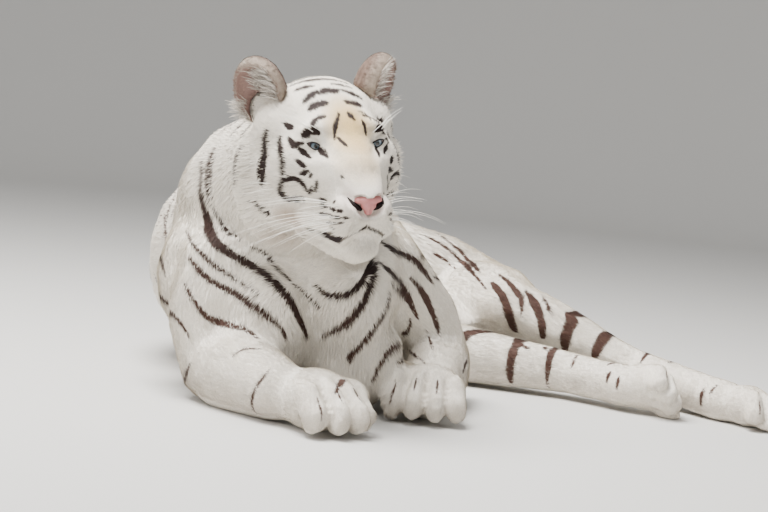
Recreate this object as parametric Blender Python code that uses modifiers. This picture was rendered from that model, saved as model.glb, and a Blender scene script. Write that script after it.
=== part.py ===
"""A white tiger lying at rest on the floor, life size, as a still display model.

The frame: the chest faces -Y and +Z is up. The masses are placed about a point on the floor
under the rib cage; at the end the origin moves to the floor under the middle of the whole.
The body is a C-shaped curve: the chest turns a little to the animal's left (+X), the loins swing
back and to +X, and the hips are rolled on to the right side, so that both hind legs lie to +X.

Each muscle group is a simple closed mass, an ellipsoid or a loft, at its real size. The masses are
melted into one body with a voxel remesh, smoothed, and parted by thin cuts into the named pieces.
"""

import math

import bmesh
import bpy
import numpy as np
from mathutils import Matrix, Vector

# ---------------------------------------------------------------- driving dimensions, metres

VOXEL = 0.0055  # size of the cells that melt the masses together
CUT = 0.0004  # width of the cuts between the pieces
SMOOTHING = 26  # smoothing passes over the trunk and limbs only
EVEN = 5  # smoothing passes over everything, the head and paws too
KEPT = 0.0185  # share of the melted triangles kept
HEAD_REACH = 0.170  # radius about the head that is kept fine
PAW_REACH = 0.075  # radius about each paw that is kept fine
FADE = 0.060  # length over which the fineness falls away
DETAIL = 0.50  # how much less the head, paws and tail are thinned, from 0 to 1

# The trunk, from breastbone to tail: centre, half width, height above and below the centre,
# and roll in degrees, less than nought where the back leans to the animal's right.
TRUNK = (
    ((0.105, -0.395, 0.180), 0.070, 0.090, 0.120, 0),
    ((0.075, -0.320, 0.200), 0.130, 0.140, 0.165, -6),
    ((0.015, -0.190, 0.212), 0.160, 0.178, 0.205, -14),
    ((-0.065, -0.040, 0.212), 0.186, 0.195, 0.214, -18),
    ((-0.095, 0.110, 0.200), 0.195, 0.178, 0.210, -20),
    ((-0.055, 0.280, 0.180), 0.185, 0.158, 0.190, -26),
    ((0.080, 0.410, 0.155), 0.155, 0.128, 0.165, -38),
    ((0.240, 0.470, 0.128), 0.140, 0.108, 0.140, -55),
    ((0.370, 0.485, 0.104), 0.110, 0.092, 0.111, -60),
    ((0.440, 0.482, 0.088), 0.070, 0.066, 0.075, -60),
)

# The neck, from the shoulders to the back of the skull.
NECK = (
    ((-0.085, 0.000, 0.250), 0.125, 0.130, 0.130, -20),
    ((-0.060, -0.190, 0.310), 0.158, 0.160, 0.150, -18),
    ((-0.018, -0.300, 0.348), 0.140, 0.145, 0.140, -12),
    ((0.015, -0.380, 0.380), 0.122, 0.124, 0.130, -6),
    ((0.035, -0.430, 0.398), 0.092, 0.092, 0.100, 0),
)

# The head's own frame: x to the animal's right, y to the nose, z up, from the middle of the skull.
HEAD_AT = Vector((0.044, -0.450, 0.407))
HEAD_YAW = 24.0  # degrees to the animal's left of straight ahead
HEAD_PITCH = -7.0  # degrees, nose down
HEAD_ROLL = 7.0  # degrees, crown towards the animal's right
EYE_AT = Vector((0.0535, 0.067, 0.044))  # the right eyeball's centre, in the head's frame
EYE_RADIUS = 0.0185
EAR_AT = Vector((0.097, -0.042, 0.110))  # the middle of the right ear
EAR_SIDES = 16  # facets round an ear
EYE_SIDES = 12  # facets round an eye
EAR_SIZE = Vector((0.045, 0.035, 0.060))

# The limbs' joints. R is the animal's right, at -X; L its left.
SCAPULA_R = Vector((-0.150, -0.110, 0.335))
SHOULDER_R = Vector((-0.105, -0.345, 0.225))
ELBOW_R = Vector((-0.108, -0.382, 0.062))
WRIST_R = Vector((0.010, -0.556, 0.052))
PAW_R = Vector((0.076, -0.598, 0.042))
SCAPULA_L = Vector((0.045, -0.070, 0.300))
SHOULDER_L = Vector((0.140, -0.260, 0.220))
ELBOW_L = Vector((0.258, -0.120, 0.064))
WRIST_L = Vector((0.248, -0.330, 0.056))
PAW_L = Vector((0.243, -0.385, 0.042))

HIP_L = Vector((0.330, 0.440, 0.136))
KNEE_L = Vector((0.405, 0.215, 0.140))
HOCK_L = Vector((0.640, 0.120, 0.054))
TOES_L = Vector((0.825, -0.105, 0.030))
HIP_R = Vector((0.310, 0.440, 0.090))
KNEE_R = Vector((0.230, 0.140, 0.062))
HOCK_R = Vector((0.510, 0.035, 0.048))
TOES_R = Vector((0.643, -0.078, 0.044))

# The tail lies along the floor behind the body: its line and its radius.
TAIL = (
    ((0.440, 0.480, 0.080), 0.040),
    ((0.540, 0.510, 0.045), 0.032),
    ((0.580, 0.600, 0.030), 0.028),
    ((0.490, 0.690, 0.027), 0.026),
    ((0.340, 0.720, 0.026), 0.025),
    ((0.190, 0.700, 0.025), 0.024),
    ((0.060, 0.640, 0.024), 0.022),
    ((-0.050, 0.560, 0.022), 0.018),
    ((-0.100, 0.520, 0.020), 0.010),
)


def clear_scene():
    for obj in list(bpy.data.objects):
        bpy.data.objects.remove(obj)


def object_from(mesh, name):
    obj = bpy.data.objects.new(name, mesh)
    bpy.context.scene.collection.objects.link(obj)
    return obj


# ---------------------------------------------------------------- masses


def ball(bm, centre, radii, frame=None, turn=(0, 0, 0), fine=24):
    """An ellipsoid mass. turn is in degrees about its own x, y and z; frame places it."""
    frame = frame or Matrix.Identity(4)
    angles = [math.radians(a) for a in turn]
    spin = Matrix.Rotation(angles[2], 4, "Z") @ Matrix.Rotation(angles[1], 4, "Y")
    spin = spin @ Matrix.Rotation(angles[0], 4, "X")
    size = Matrix.Diagonal((*radii, 1))
    placed = frame @ Matrix.Translation(centre) @ spin @ size
    rings = fine * 2 // 3
    bmesh.ops.create_uvsphere(bm, u_segments=fine, v_segments=rings, radius=1, matrix=placed)


def smooth_path(values, steps):
    """Catmull-Rom through rows of numbers, with steps rows for each span."""
    rows = np.array(values, float)
    ends = np.vstack([2 * rows[0] - rows[1], rows, 2 * rows[-1] - rows[-2]])
    path = []
    for i in range(1, len(rows)):
        a, b, c, d = ends[i - 1 : i + 3]
        for t in np.linspace(0, 1, steps, endpoint=False):
            curve = 2 * b + (c - a) * t + (2 * a - 5 * b + 4 * c - d) * t**2
            path.append((curve + (3 * b - a - 3 * c + d) * t**3) / 2)
    return np.array([*path, rows[-1]])


def rounded(rows):
    """The rows of a loft with a domed end added at each tip."""
    domes = []
    for tip, inner in ((rows[0], rows[1]), (rows[-1], rows[-2])):
        out = tip[:3] - inner[:3]
        out = out / np.linalg.norm(out)
        dome = []
        for angle in (30, 60, 85):
            row = tip.copy()
            row[:3] += out * tip[3:6].mean() * 0.8 * math.sin(math.radians(angle))
            row[3:6] *= math.cos(math.radians(angle))
            dome.append(row)
        domes.append(dome)
    return [*domes[0][::-1], *rows, *domes[1]]


def loft(bm, stations, frame=None, up=(0, 0, 1), sides=28, steps=5):
    """A closed mass through elliptical sections: (centre, half width, above, below, roll)."""
    frame = frame or Matrix.Identity(4)
    rows = rounded(smooth_path([(*s[0], *s[1:]) for s in stations], steps))
    rings = []
    for i, row in enumerate(rows):
        centre = Vector(row[:3])
        ahead = Vector(rows[min(i + 1, len(rows) - 1)][:3] - rows[max(i - 1, 0)][:3])
        side = Vector(up).cross(ahead).normalized()
        top = ahead.cross(side).normalized()
        roll = Matrix.Rotation(math.radians(row[6]), 3, ahead)
        ring = []
        for k in range(sides):
            angle = 2 * math.pi * k / sides
            height = row[4] if math.sin(angle) > 0 else row[5]
            offset = side * math.cos(angle) * row[3] + top * math.sin(angle) * height
            ring.append(bm.verts.new(frame @ (centre + roll @ offset)))
        rings.append(ring)
    for one, two in zip(rings, rings[1:]):
        for k in range(sides):
            after = (k + 1) % sides
            bm.faces.new((one[k], one[after], two[after], two[k]))
    bm.faces.new(reversed(rings[0]))
    bm.faces.new(rings[-1])


def limb(bm, points, widths, depths, up=(0, 0, 1), steps=5):
    """A loft along points, as wide and deep as the two rows of half sizes say."""
    stations = [(p, w, d, d, 0) for p, w, d in zip(points, widths, depths)]
    loft(bm, stations, up=up, steps=steps)


def frame_along(at, ahead, up=(0, 0, 1)):
    """A frame at a point with y ahead, z near up and x to the right."""
    y = Vector(ahead).normalized()
    x = y.cross(Vector(up)).normalized()
    z = x.cross(y)
    turned = Matrix((x, y, z)).transposed().to_4x4()
    return Matrix.Translation(at) @ turned


def trunk_masses(bm):
    loft(bm, TRUNK)
    loft(bm, NECK)
    ball(bm, (0.115, -0.360, 0.092), (0.085, 0.080, 0.088))


def foreleg_masses(bm, scapula, shoulder, elbow, wrist, outward):
    """The shoulder blade, upper arm and forearm, folded under a lying cat."""
    out = Vector(outward)
    limb(bm, (scapula, scapula.lerp(shoulder, 0.5) + out * 0.012, shoulder),
         (0.055, 0.085, 0.090), (0.035, 0.055, 0.068), up=(0, 1, 0))
    limb(bm, (shoulder, shoulder.lerp(elbow, 0.5) + out * 0.010, elbow),
         (0.088, 0.082, 0.066), (0.072, 0.070, 0.060), up=(0, 1, 0))
    limb(bm, (elbow, elbow.lerp(wrist, 0.35), elbow.lerp(wrist, 0.75), wrist),
         (0.064, 0.066, 0.054, 0.048), (0.066, 0.070, 0.058, 0.050))


def paw_masses(bm, at, ahead, size=1.0, up=(0, 0, 1)):
    """A cat's paw: the palm, and four toes with raised knuckles."""
    frame = frame_along(at, ahead, up)
    ball(bm, (0, -0.014 * size, 0.006), (0.050 * size, 0.056 * size, 0.043 * size), frame)
    for side in (-1.5, -0.5, 0.5, 1.5):
        turned = frame @ Matrix.Rotation(math.radians(-9 * side), 4, "Z")
        reach = (0.060 - 0.006 * abs(side)) * size
        across = 0.0235 * side * size
        knuckle = (across, reach - 0.028 * size, 0.012)
        ball(bm, knuckle, (0.017 * size, 0.034 * size, 0.027 * size), turned, (-18, 0, 0))
        tip = (across, reach, -0.010)
        ball(bm, tip, (0.0175 * size, 0.023 * size, 0.024 * size), turned)


def foreleg_r(bm):
    foreleg_masses(bm, SCAPULA_R, SHOULDER_R, ELBOW_R, WRIST_R, (-0.92, -0.39, 0))
    ball(bm, (-0.150, -0.240, 0.195), (0.082, 0.120, 0.118), None, (0, 0, -12))
    ball(bm, (-0.025, -0.390, 0.145), (0.085, 0.075, 0.095), None, (0, 0, -45))
    paw_masses(bm, PAW_R, (0.66, -0.75, 0.0), size=1.16)


def foreleg_l(bm):
    foreleg_masses(bm, SCAPULA_L, SHOULDER_L, ELBOW_L, WRIST_L, (0.92, 0.39, 0))
    paw_masses(bm, PAW_L, (PAW_L - WRIST_L) * Vector((1, 1, 0)), size=1.12)


def hind_leg(bm, hip, knee, hock, toes):
    limb(bm, (hip, hip.lerp(knee, 0.5), knee), (0.110, 0.100, 0.066), (0.078, 0.078, 0.058))
    limb(bm, (knee, knee.lerp(hock, 0.3), knee.lerp(hock, 0.7), hock),
         (0.060, 0.060, 0.044, 0.038), (0.056, 0.056, 0.046, 0.042))
    limb(bm, (hock, hock.lerp(toes, 0.4), hock.lerp(toes, 0.8)),
         (0.040, 0.040, 0.043), (0.042, 0.038, 0.038))
    heel = (hock - knee).normalized() * 0.030
    ball(bm, hock + heel, (0.030, 0.030, 0.030))


def hind_legs(bm):
    hind_leg(bm, HIP_R, KNEE_R, HOCK_R, TOES_R)
    hind_leg(bm, HIP_L, KNEE_L, HOCK_L, TOES_L)
    paw_masses(bm, TOES_R, TOES_R - HOCK_R, size=0.90, up=(0.55, 0.55, 0.65))
    paw_masses(bm, TOES_L, TOES_L - HOCK_L, size=0.88, up=(0.2, 0.2, 0.95))


def tail_masses(bm):
    loft(bm, [(p, r, r, r, 0) for p, r in TAIL], sides=20)


def head_frame():
    turn = Matrix.Rotation(math.radians(HEAD_YAW), 4, "Z")
    turn = turn @ Matrix.Rotation(math.pi, 4, "Z")
    turn = turn @ Matrix.Rotation(math.radians(HEAD_PITCH), 4, "X")
    turn = turn @ Matrix.Rotation(math.radians(HEAD_ROLL), 4, "Y")
    return Matrix.Translation(HEAD_AT) @ turn


def head_masses(bm):
    """The skull, cheeks, muzzle and jaw."""
    frame = head_frame()
    ball(bm, (0, -0.030, 0.042), (0.100, 0.108, 0.094), frame)
    ball(bm, (0, 0.036, 0.050), (0.074, 0.062, 0.056), frame)
    loft(bm, (((0, 0.050, 0.034), 0.054, 0.050, 0.052, 0),
              ((0, 0.095, 0.018), 0.047, 0.041, 0.050, 0),
              ((0, 0.138, -0.004), 0.040, 0.035, 0.045, 0),
              ((0, 0.166, -0.018), 0.032, 0.026, 0.035, 0)), frame)
    ball(bm, (0, 0.185, -0.028), (0.024, 0.015, 0.019), frame)
    ball(bm, (0, 0.116, -0.046), (0.061, 0.070, 0.056), frame)
    loft(bm, (((0, -0.010, -0.070), 0.072, 0.048, 0.052, 0),
              ((0, 0.070, -0.094), 0.056, 0.040, 0.042, 0),
              ((0, 0.125, -0.104), 0.040, 0.032, 0.032, 0),
              ((0, 0.148, -0.106), 0.030, 0.024, 0.028, 0)), frame)
    for side in (-1, 1):
        ball(bm, (side * 0.066, 0.026, 0.000), (0.045, 0.068, 0.056), frame)
        ball(bm, (side * 0.080, -0.016, 0.050), (0.038, 0.050, 0.050), frame)
        ball(bm, (side * 0.074, -0.058, 0.080), (0.036, 0.034, 0.036), frame)
        ball(bm, (side * 0.040, 0.085, -0.005), (0.034, 0.055, 0.044), frame, (0, 0, side * 12))
        ball(bm, (side * 0.060, -0.005, -0.052), (0.054, 0.070, 0.064), frame)
        ball(bm, (side * 0.100, -0.040, -0.042), (0.040, 0.048, 0.088), frame, (0, side * 12, 0))
        ball(bm, (side * 0.046, 0.085, -0.075), (0.036, 0.052, 0.038), frame)
        ball(bm, (side * 0.034, 0.150, -0.054), (0.037, 0.044, 0.036), frame)
        ball(bm, (side * 0.046, 0.066, 0.064), (0.029, 0.022, 0.017), frame, (0, side * 15, 0))


def flesh():
    """Every mass, as one mesh of closed shells that overlap."""
    bm = bmesh.new()
    trunk_masses(bm)
    foreleg_r(bm)
    foreleg_l(bm)
    hind_legs(bm)
    tail_masses(bm)
    head_masses(bm)
    bmesh.ops.recalc_face_normals(bm, faces=bm.faces)
    mesh = bpy.data.meshes.new("flesh")
    bm.to_mesh(mesh)
    bm.free()
    return object_from(mesh, "flesh")


def settled(obj):
    """The object with its modifiers made part of its mesh."""
    graph = bpy.context.evaluated_depsgraph_get()
    mesh = bpy.data.meshes.new_from_object(obj.evaluated_get(graph))
    obj.modifiers.clear()
    obj.data = mesh
    return obj


def fineness(point):
    """1 on the head and paws, less away from them, and 0 on the trunk and limbs."""
    near = [(point - HEAD_AT).length - HEAD_REACH]
    for paw in (PAW_R, PAW_L, TOES_R, TOES_L):
        near.append((point - paw).length - PAW_REACH)
    return max(0.0, min(1.0, 1 - min(near) / FADE))


def on_tail(point):
    """1 on the thin part of the tail."""
    near = min((point - Vector(at)).length for at, _ in TAIL[2:])
    return 1.0 if near < PAW_REACH + FADE / 4 else 0.0


def melt(obj):
    """The overlapping shells made one smooth skin, finer on the head and paws."""
    remesh = obj.modifiers.new("melt", "REMESH")
    remesh.mode = "VOXEL"
    remesh.voxel_size = VOXEL
    settled(obj)
    fine = [fineness(v.co) for v in obj.data.vertices]
    body = obj.vertex_groups.new(name="body")
    whole = obj.vertex_groups.new(name="whole")
    detail = obj.vertex_groups.new(name="detail")
    for i, value in enumerate(fine):
        body.add([i], 1 - value, "REPLACE")
        whole.add([i], 1.0, "REPLACE")
        value = max(value, 0.5 * on_tail(obj.data.vertices[i].co))
        detail.add([i], 1 - DETAIL * value, "REPLACE")
    for group, passes in (("body", SMOOTHING), ("whole", EVEN)):
        smooth = obj.modifiers.new(group, "SMOOTH")
        smooth.factor = 0.5
        smooth.iterations = passes
        smooth.vertex_group = group
    settled(obj)
    thin = obj.modifiers.new("thin", "DECIMATE")
    thin.ratio = KEPT
    thin.vertex_group = "detail"
    thin.vertex_group_factor = 1.0
    settled(obj)
    obj.vertex_groups.clear()
    return obj


# ---------------------------------------------------------------- parting


def box(frame, low, high):
    """A box between two corners in a frame."""
    mesh = bpy.data.meshes.new("box")
    bm = bmesh.new()
    middle = (Vector(low) + Vector(high)) / 2
    size = Vector(high) - Vector(low)
    place = frame @ Matrix.Translation(middle) @ Matrix.Diagonal((*size, 1))
    bmesh.ops.create_cube(bm, size=1, matrix=place)
    bm.to_mesh(mesh)
    bm.free()
    return object_from(mesh, "box")


def boolean(obj, cutter, operation):
    cut = obj.modifiers.new("cut", "BOOLEAN")
    cut.object = cutter
    cut.operation = operation
    cut.solver = "EXACT"
    settled(obj)


def keep_largest(obj):
    """Removes the crumbs that a cut leaves beside a piece."""
    bm = bmesh.new()
    bm.from_mesh(obj.data)
    left = set(bm.verts)
    islands = []
    while left:
        edge = [left.pop()]
        island = set(edge)
        while edge:
            vert = edge.pop()
            near = {link.other_vert(vert) for link in vert.link_edges} & left
            left -= near
            island |= near
            edge.extend(near)
        islands.append(island)
    islands.sort(key=len, reverse=True)
    for island in islands[1:]:
        bmesh.ops.delete(bm, geom=list(island), context="VERTS")
    bm.to_mesh(obj.data)
    bm.free()


def part_off(rest, name, frame, low, high):
    """Parts the flesh inside a box from the rest, with a thin gap between them."""
    piece = rest.copy()
    piece.data = rest.data.copy()
    bpy.context.scene.collection.objects.link(piece)
    piece.name = name
    inside = box(frame, low, high)
    boolean(piece, inside, "INTERSECT")
    gap = Vector((CUT, CUT, CUT))
    outside = box(frame, Vector(low) - gap, Vector(high) + gap)
    boolean(rest, outside, "DIFFERENCE")
    bpy.data.objects.remove(inside)
    bpy.data.objects.remove(outside)
    keep_largest(piece)
    keep_largest(rest)
    return piece


def part_foreleg(rest, side, elbow, wrist, ahead):
    """The forearm and paw, in that order."""
    frame = frame_along(elbow, wrist - elbow)
    reach = (wrist - elbow).length
    lower = part_off(rest, "forearm_" + side, frame,
                     (-0.092, -0.110, -0.200), (0.092, reach + 0.200, 0.066))
    paw = part_off(lower, "forepaw_" + side, frame_along(wrist, ahead),
                   (-0.200, 0.004, -0.200), (0.200, 0.300, 0.200))
    return [lower, paw]


def part_hind_leg(rest, side, hip, knee, hock, toes):
    """The foot, shin and thigh, in that order."""
    foot = part_off(rest, "hind_foot_" + side, frame_along(hock, toes - hock),
                    (-0.075, 0.014, -0.200), (0.075, 0.400, 0.200))
    reach = (hock - knee).length
    shin = part_off(rest, "shin_" + side, frame_along(knee, hock - knee),
                    (-0.080, -0.010, -0.200), (0.080, reach + 0.070, 0.090))
    reach = (knee - hip).length
    thigh = part_off(rest, "thigh_" + side, frame_along(hip, knee - hip),
                     (-0.105, 0.030, -0.072), (0.105, reach + 0.090, 0.100))
    return [foot, shin, thigh]


def part_upper_arm(rest, side, shoulder, elbow, out):
    """The shoulder and upper arm, as a block between the chest and the forearm."""
    middle = shoulder.lerp(elbow, 0.4) + Vector((0, 0.085, 0))
    frame = frame_along(middle, (0, -1, 0)) @ Matrix.Rotation(math.radians(-12 * out), 4, "Z")
    inner, outer = sorted((-0.050 * out, 0.200 * out))
    return part_off(rest, "upper_arm_" + side, frame,
                    (inner, -0.090, -0.150), (outer, 0.190, 0.170))


def part_trunk(rest):
    """The neck, chest and rump; the loins are what is left."""
    world = Matrix.Identity(4)
    nape = frame_along((-0.045, -0.235, 0.325), (0.34, -0.89, 0.31))
    neck = part_off(rest, "neck", nape, (-0.300, 0.000, -0.120), (0.300, 0.400, 0.300))
    chest = part_off(rest, "chest", world, (-0.500, -0.900, -0.100), (0.500, 0.030, 0.600))
    rump = part_off(rest, "rump", world, (0.150, -0.500, -0.100), (1.200, 1.200, 0.600))
    rest.name = "loins"
    return [neck, chest, rump]


def ear(side):
    """A rounded cup that opens forward and outward."""
    name = "ear_right" if side > 0 else "ear_left"
    turn = Matrix.Rotation(math.radians(-side * 48), 4, "Z")
    lean = Matrix.Rotation(math.radians(side * 16), 4, "Y")
    at = Vector((side * EAR_AT.x, EAR_AT.y, EAR_AT.z))
    frame = head_frame() @ Matrix.Translation(at) @ lean @ turn
    bm = bmesh.new()
    ball(bm, (0, 0, 0), EAR_SIZE, frame, fine=EAR_SIDES)
    mesh = bpy.data.meshes.new(name)
    bm.to_mesh(mesh)
    bm.free()
    shell = object_from(mesh, name)
    bm = bmesh.new()
    ball(bm, (0, 0.024, -0.001), EAR_SIZE * 0.88, frame, fine=EAR_SIDES)
    hollow_mesh = bpy.data.meshes.new("hollow")
    bm.to_mesh(hollow_mesh)
    bm.free()
    hollow = object_from(hollow_mesh, "hollow")
    boolean(shell, hollow, "DIFFERENCE")
    bpy.data.objects.remove(hollow)
    return shell


def solid_ball(name, frame, at, radius):
    bm = bmesh.new()
    ball(bm, at, (radius, radius, radius), frame, fine=EYE_SIDES)
    mesh = bpy.data.meshes.new(name)
    bm.to_mesh(mesh)
    bm.free()
    return object_from(mesh, name)


def part_head(rest):
    """The head off the neck, then the jaw, nose, eyes and ears."""
    frame = head_frame()
    back = frame @ Matrix.Rotation(math.radians(-18), 4, "X")
    head = part_off(rest, "head", back, (-0.250, -0.118, -0.150), (0.250, 0.300, 0.300))
    gape = frame @ Matrix.Translation((0, 0.060, -0.092)) @ Matrix.Rotation(0.14, 4, "X")
    jaw = part_off(head, "lower_jaw", gape, (-0.070, 0.000, -0.200), (0.070, 0.200, 0.000))
    nose = part_off(head, "nose", frame, (-0.022, 0.178, -0.050), (0.022, 0.300, -0.008))
    pieces = [head, jaw, nose]
    for side, name in ((1, "right"), (-1, "left")):
        at = Vector((side * EYE_AT.x, EYE_AT.y, EYE_AT.z))
        socket = solid_ball("socket", frame, at, EYE_RADIUS + CUT)
        boolean(head, socket, "DIFFERENCE")
        bpy.data.objects.remove(socket)
        pieces.append(solid_ball("eye_" + name, frame, at, EYE_RADIUS))
        shell = ear(side)
        grown = head.copy()
        grown.data = head.data.copy()
        bpy.context.scene.collection.objects.link(grown)
        swell = grown.modifiers.new("swell", "DISPLACE")
        swell.strength = CUT
        swell.mid_level = 0
        settled(grown)
        boolean(shell, grown, "DIFFERENCE")
        bpy.data.objects.remove(grown)
        keep_largest(shell)
        pieces.append(shell)
    return pieces


def part_tail(rest):
    world = Matrix.Identity(4)
    tip = part_off(rest, "tail_tip", world, (-0.300, 0.480, -0.100), (0.130, 0.900, 0.058))
    middle = part_off(rest, "tail_middle", world, (-0.300, 0.640, -0.100), (0.505, 0.900, 0.150))
    root = part_off(rest, "tail_root", world, (0.492, 0.400, -0.100), (0.800, 0.900, 0.150))
    return [tip, middle, root]


def colour(piece):
    tones = {"nose": ((0.62, 0.33, 0.34), 0.45), "eye": ((0.30, 0.38, 0.42), 0.08),
             "ear": ((0.66, 0.60, 0.55), 0.85)}
    tone, roughness = tones.get(piece.name.split("_")[0], ((0.80, 0.77, 0.71), 0.90))
    material = bpy.data.materials.new(piece.name)
    material.use_nodes = True
    shade = material.node_tree.nodes["Principled BSDF"]
    shade.inputs["Base Color"].default_value = (*tone, 1)
    shade.inputs["Roughness"].default_value = roughness
    shade.inputs["Metallic"].default_value = 0.0
    piece.data.materials.clear()
    piece.data.materials.append(material)


def to_origin(pieces):
    """Moves the model so that the origin is under the middle of its bounding box."""
    points = np.array([v.co for piece in pieces for v in piece.data.vertices])
    low, high = points.min(axis=0), points.max(axis=0)
    middle = (low + high) / 2
    for piece in pieces:
        piece.data.transform(Matrix.Translation((-middle[0], -middle[1], -low[2])))


def gather(pieces):
    """Puts the pieces in one collection, named for the object."""
    shelf = bpy.data.collections.new("white_tiger")
    bpy.context.scene.collection.children.link(shelf)
    for piece in pieces:
        for home in list(piece.users_collection):
            home.objects.unlink(piece)
        shelf.objects.link(piece)
        colour(piece)


def main():
    clear_scene()
    rest = flesh()
    melt(rest)
    ground = box(Matrix.Identity(4), (-2, -2, -1), (2, 2, 0))
    boolean(rest, ground, "DIFFERENCE")
    bpy.data.objects.remove(ground)
    pieces = part_head(rest)
    pieces += part_foreleg(rest, "right", ELBOW_R, WRIST_R, PAW_R - WRIST_R)
    pieces += part_foreleg(rest, "left", ELBOW_L, WRIST_L, PAW_L - WRIST_L)
    pieces += part_tail(rest)
    pieces += part_hind_leg(rest, "left", HIP_L, KNEE_L, HOCK_L, TOES_L)
    pieces += part_hind_leg(rest, "right", HIP_R, KNEE_R, HOCK_R, TOES_R)
    pieces.append(part_upper_arm(rest, "right", SHOULDER_R, ELBOW_R, 1))
    pieces.append(part_upper_arm(rest, "left", SHOULDER_L, ELBOW_L, -1))
    pieces += [*part_trunk(rest), rest]
    to_origin(pieces)
    gather(pieces)


main()
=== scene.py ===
import math

import bmesh
import bpy
import numpy as np
from mathutils import Matrix, Vector
from mathutils.bvhtree import BVHTree
from mathutils.kdtree import KDTree


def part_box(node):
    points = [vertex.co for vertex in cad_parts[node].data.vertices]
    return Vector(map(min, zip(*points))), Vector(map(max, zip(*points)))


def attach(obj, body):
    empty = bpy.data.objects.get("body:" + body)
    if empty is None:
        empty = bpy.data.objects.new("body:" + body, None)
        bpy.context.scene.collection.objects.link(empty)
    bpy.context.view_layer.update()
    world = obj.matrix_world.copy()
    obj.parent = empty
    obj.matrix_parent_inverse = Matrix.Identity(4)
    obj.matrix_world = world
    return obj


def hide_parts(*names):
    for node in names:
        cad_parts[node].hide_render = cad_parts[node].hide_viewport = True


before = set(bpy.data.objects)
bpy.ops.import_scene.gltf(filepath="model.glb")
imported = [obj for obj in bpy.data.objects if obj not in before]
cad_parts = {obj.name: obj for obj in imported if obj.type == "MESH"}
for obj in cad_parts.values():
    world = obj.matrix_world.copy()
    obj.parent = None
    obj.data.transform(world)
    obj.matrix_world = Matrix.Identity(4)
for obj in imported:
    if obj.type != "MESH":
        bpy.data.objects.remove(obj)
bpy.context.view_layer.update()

# ------------------------------------------------------------------ studio
# A round pale floor that turns up into a wall on every side, a long lens near the floor, and soft
# boxes overhead, ahead and to the right. None of it belongs to the animal.

HEAD_TURN = (24, -7, 7)  # yaw, pitch and roll of the head, in degrees
EYE_IN_HEAD = (0.0535, 0.067, 0.044)  # the right eye: to the animal's right, ahead and up
HEAD_IN_BODY = Vector((0.044, -0.450, 0.407))


def middle(node):
    """The middle of a node's box."""
    low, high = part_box(node)
    return (Vector(low) + Vector(high)) / 2


def turned(yaw, pitch, roll):
    """The head's axes: x to the animal's right, y out of the nose, z out of the crown."""
    turn = Matrix.Rotation(math.radians(yaw + 180), 4, "Z")
    turn = turn @ Matrix.Rotation(math.radians(pitch), 4, "X")
    return turn @ Matrix.Rotation(math.radians(roll), 4, "Y")


between_eyes = (middle("eye_right") + middle("eye_left")) / 2
head_axes = turned(*HEAD_TURN)
head_at = between_eyes - head_axes.to_3x3() @ Vector((0, *EYE_IN_HEAD[1:]))
HEAD = Matrix.Translation(head_at) @ head_axes
BODY = head_at - HEAD_IN_BODY  # where the body's own zero lies in this frame

LENS = 100
CAMERA_AT = Vector((0.150, -3.850, 0.535))
CAMERA_DOWN, CAMERA_ROLL = 4.5, 5.5  # degrees

camera = bpy.data.objects.new("camera", bpy.data.cameras.new("camera"))
bpy.context.scene.collection.objects.link(camera)
camera.data.lens = LENS
aim = Matrix.Rotation(math.radians(90 - CAMERA_DOWN), 4, "X")
camera.matrix_world = (Matrix.Translation(BODY + CAMERA_AT) @ aim
                       @ Matrix.Rotation(math.radians(CAMERA_ROLL), 4, "Z"))
bpy.context.scene.camera = camera

FLOOR_REACH, COVE_RADIUS, COVE_STEPS, WALL_TOP, AROUND = 5.4, 1.6, 10, 4.6, 96


def cove():
    """A round floor that turns up into a wall on every side."""
    profile = [(0.3, 0.0)]
    for k in range(COVE_STEPS + 1):
        angle = math.pi / 2 * k / COVE_STEPS
        profile.append((FLOOR_REACH + COVE_RADIUS * math.sin(angle), COVE_RADIUS * (1 - math.cos(angle))))
    profile.append((FLOOR_REACH + COVE_RADIUS, WALL_TOP))
    points = [(out * math.cos(2 * math.pi * k / AROUND), out * math.sin(2 * math.pi * k / AROUND), z)
              for out, z in profile for k in range(AROUND)]
    faces = [(AROUND * ring + k, AROUND * ring + (k + 1) % AROUND, AROUND * (ring + 1) + (k + 1) % AROUND,
              AROUND * (ring + 1) + k) for ring in range(len(profile) - 1) for k in range(AROUND)]
    faces = [face[::-1] for face in faces] + [tuple(range(AROUND))]
    mesh = bpy.data.meshes.new("floor")
    mesh.from_pydata(points, [], faces)
    mesh.shade_smooth()
    return mesh


floor = bpy.data.objects.new("floor", cove())
bpy.context.scene.collection.objects.link(floor)
paint = bpy.data.materials.new("floor_paint")
paint.use_nodes = True
paint.node_tree.nodes["Principled BSDF"].inputs["Base Color"].default_value = (0.56, 0.55, 0.53, 1)
paint.node_tree.nodes["Principled BSDF"].inputs["Roughness"].default_value = 0.9
floor.data.materials.append(paint)


LIT_PLACE = Vector((0, 0, 0.2))


def soft_box(name, at, size, power, colour):
    """A square lamp turned to the animal."""
    light = bpy.data.lights.new(name, "AREA")
    light.size = size
    light.energy = power
    light.color = colour
    lamp = bpy.data.objects.new(name, light)
    bpy.context.scene.collection.objects.link(lamp)
    lamp.location = at
    lamp.rotation_euler = (LIT_PLACE - Vector(at)).to_track_quat("-Z", "Y").to_euler()


soft_box("overhead", (-0.9, -0.5, 2.9), 1.8, 330, (1.0, 0.985, 0.96))
soft_box("ahead", (-2.4, -3.0, 1.7), 2.0, 80, (1.0, 0.99, 0.97))
soft_box("right_fill", (3.2, -1.2, 1.4), 1.8, 26, (0.96, 0.98, 1.0))
world = bpy.data.worlds.new("studio")
world.use_nodes = True
world.node_tree.nodes["Background"].inputs["Color"].default_value = (0.95, 0.97, 1.0, 1)
world.node_tree.nodes["Background"].inputs["Strength"].default_value = 0.50
bpy.context.scene.world = world

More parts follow.
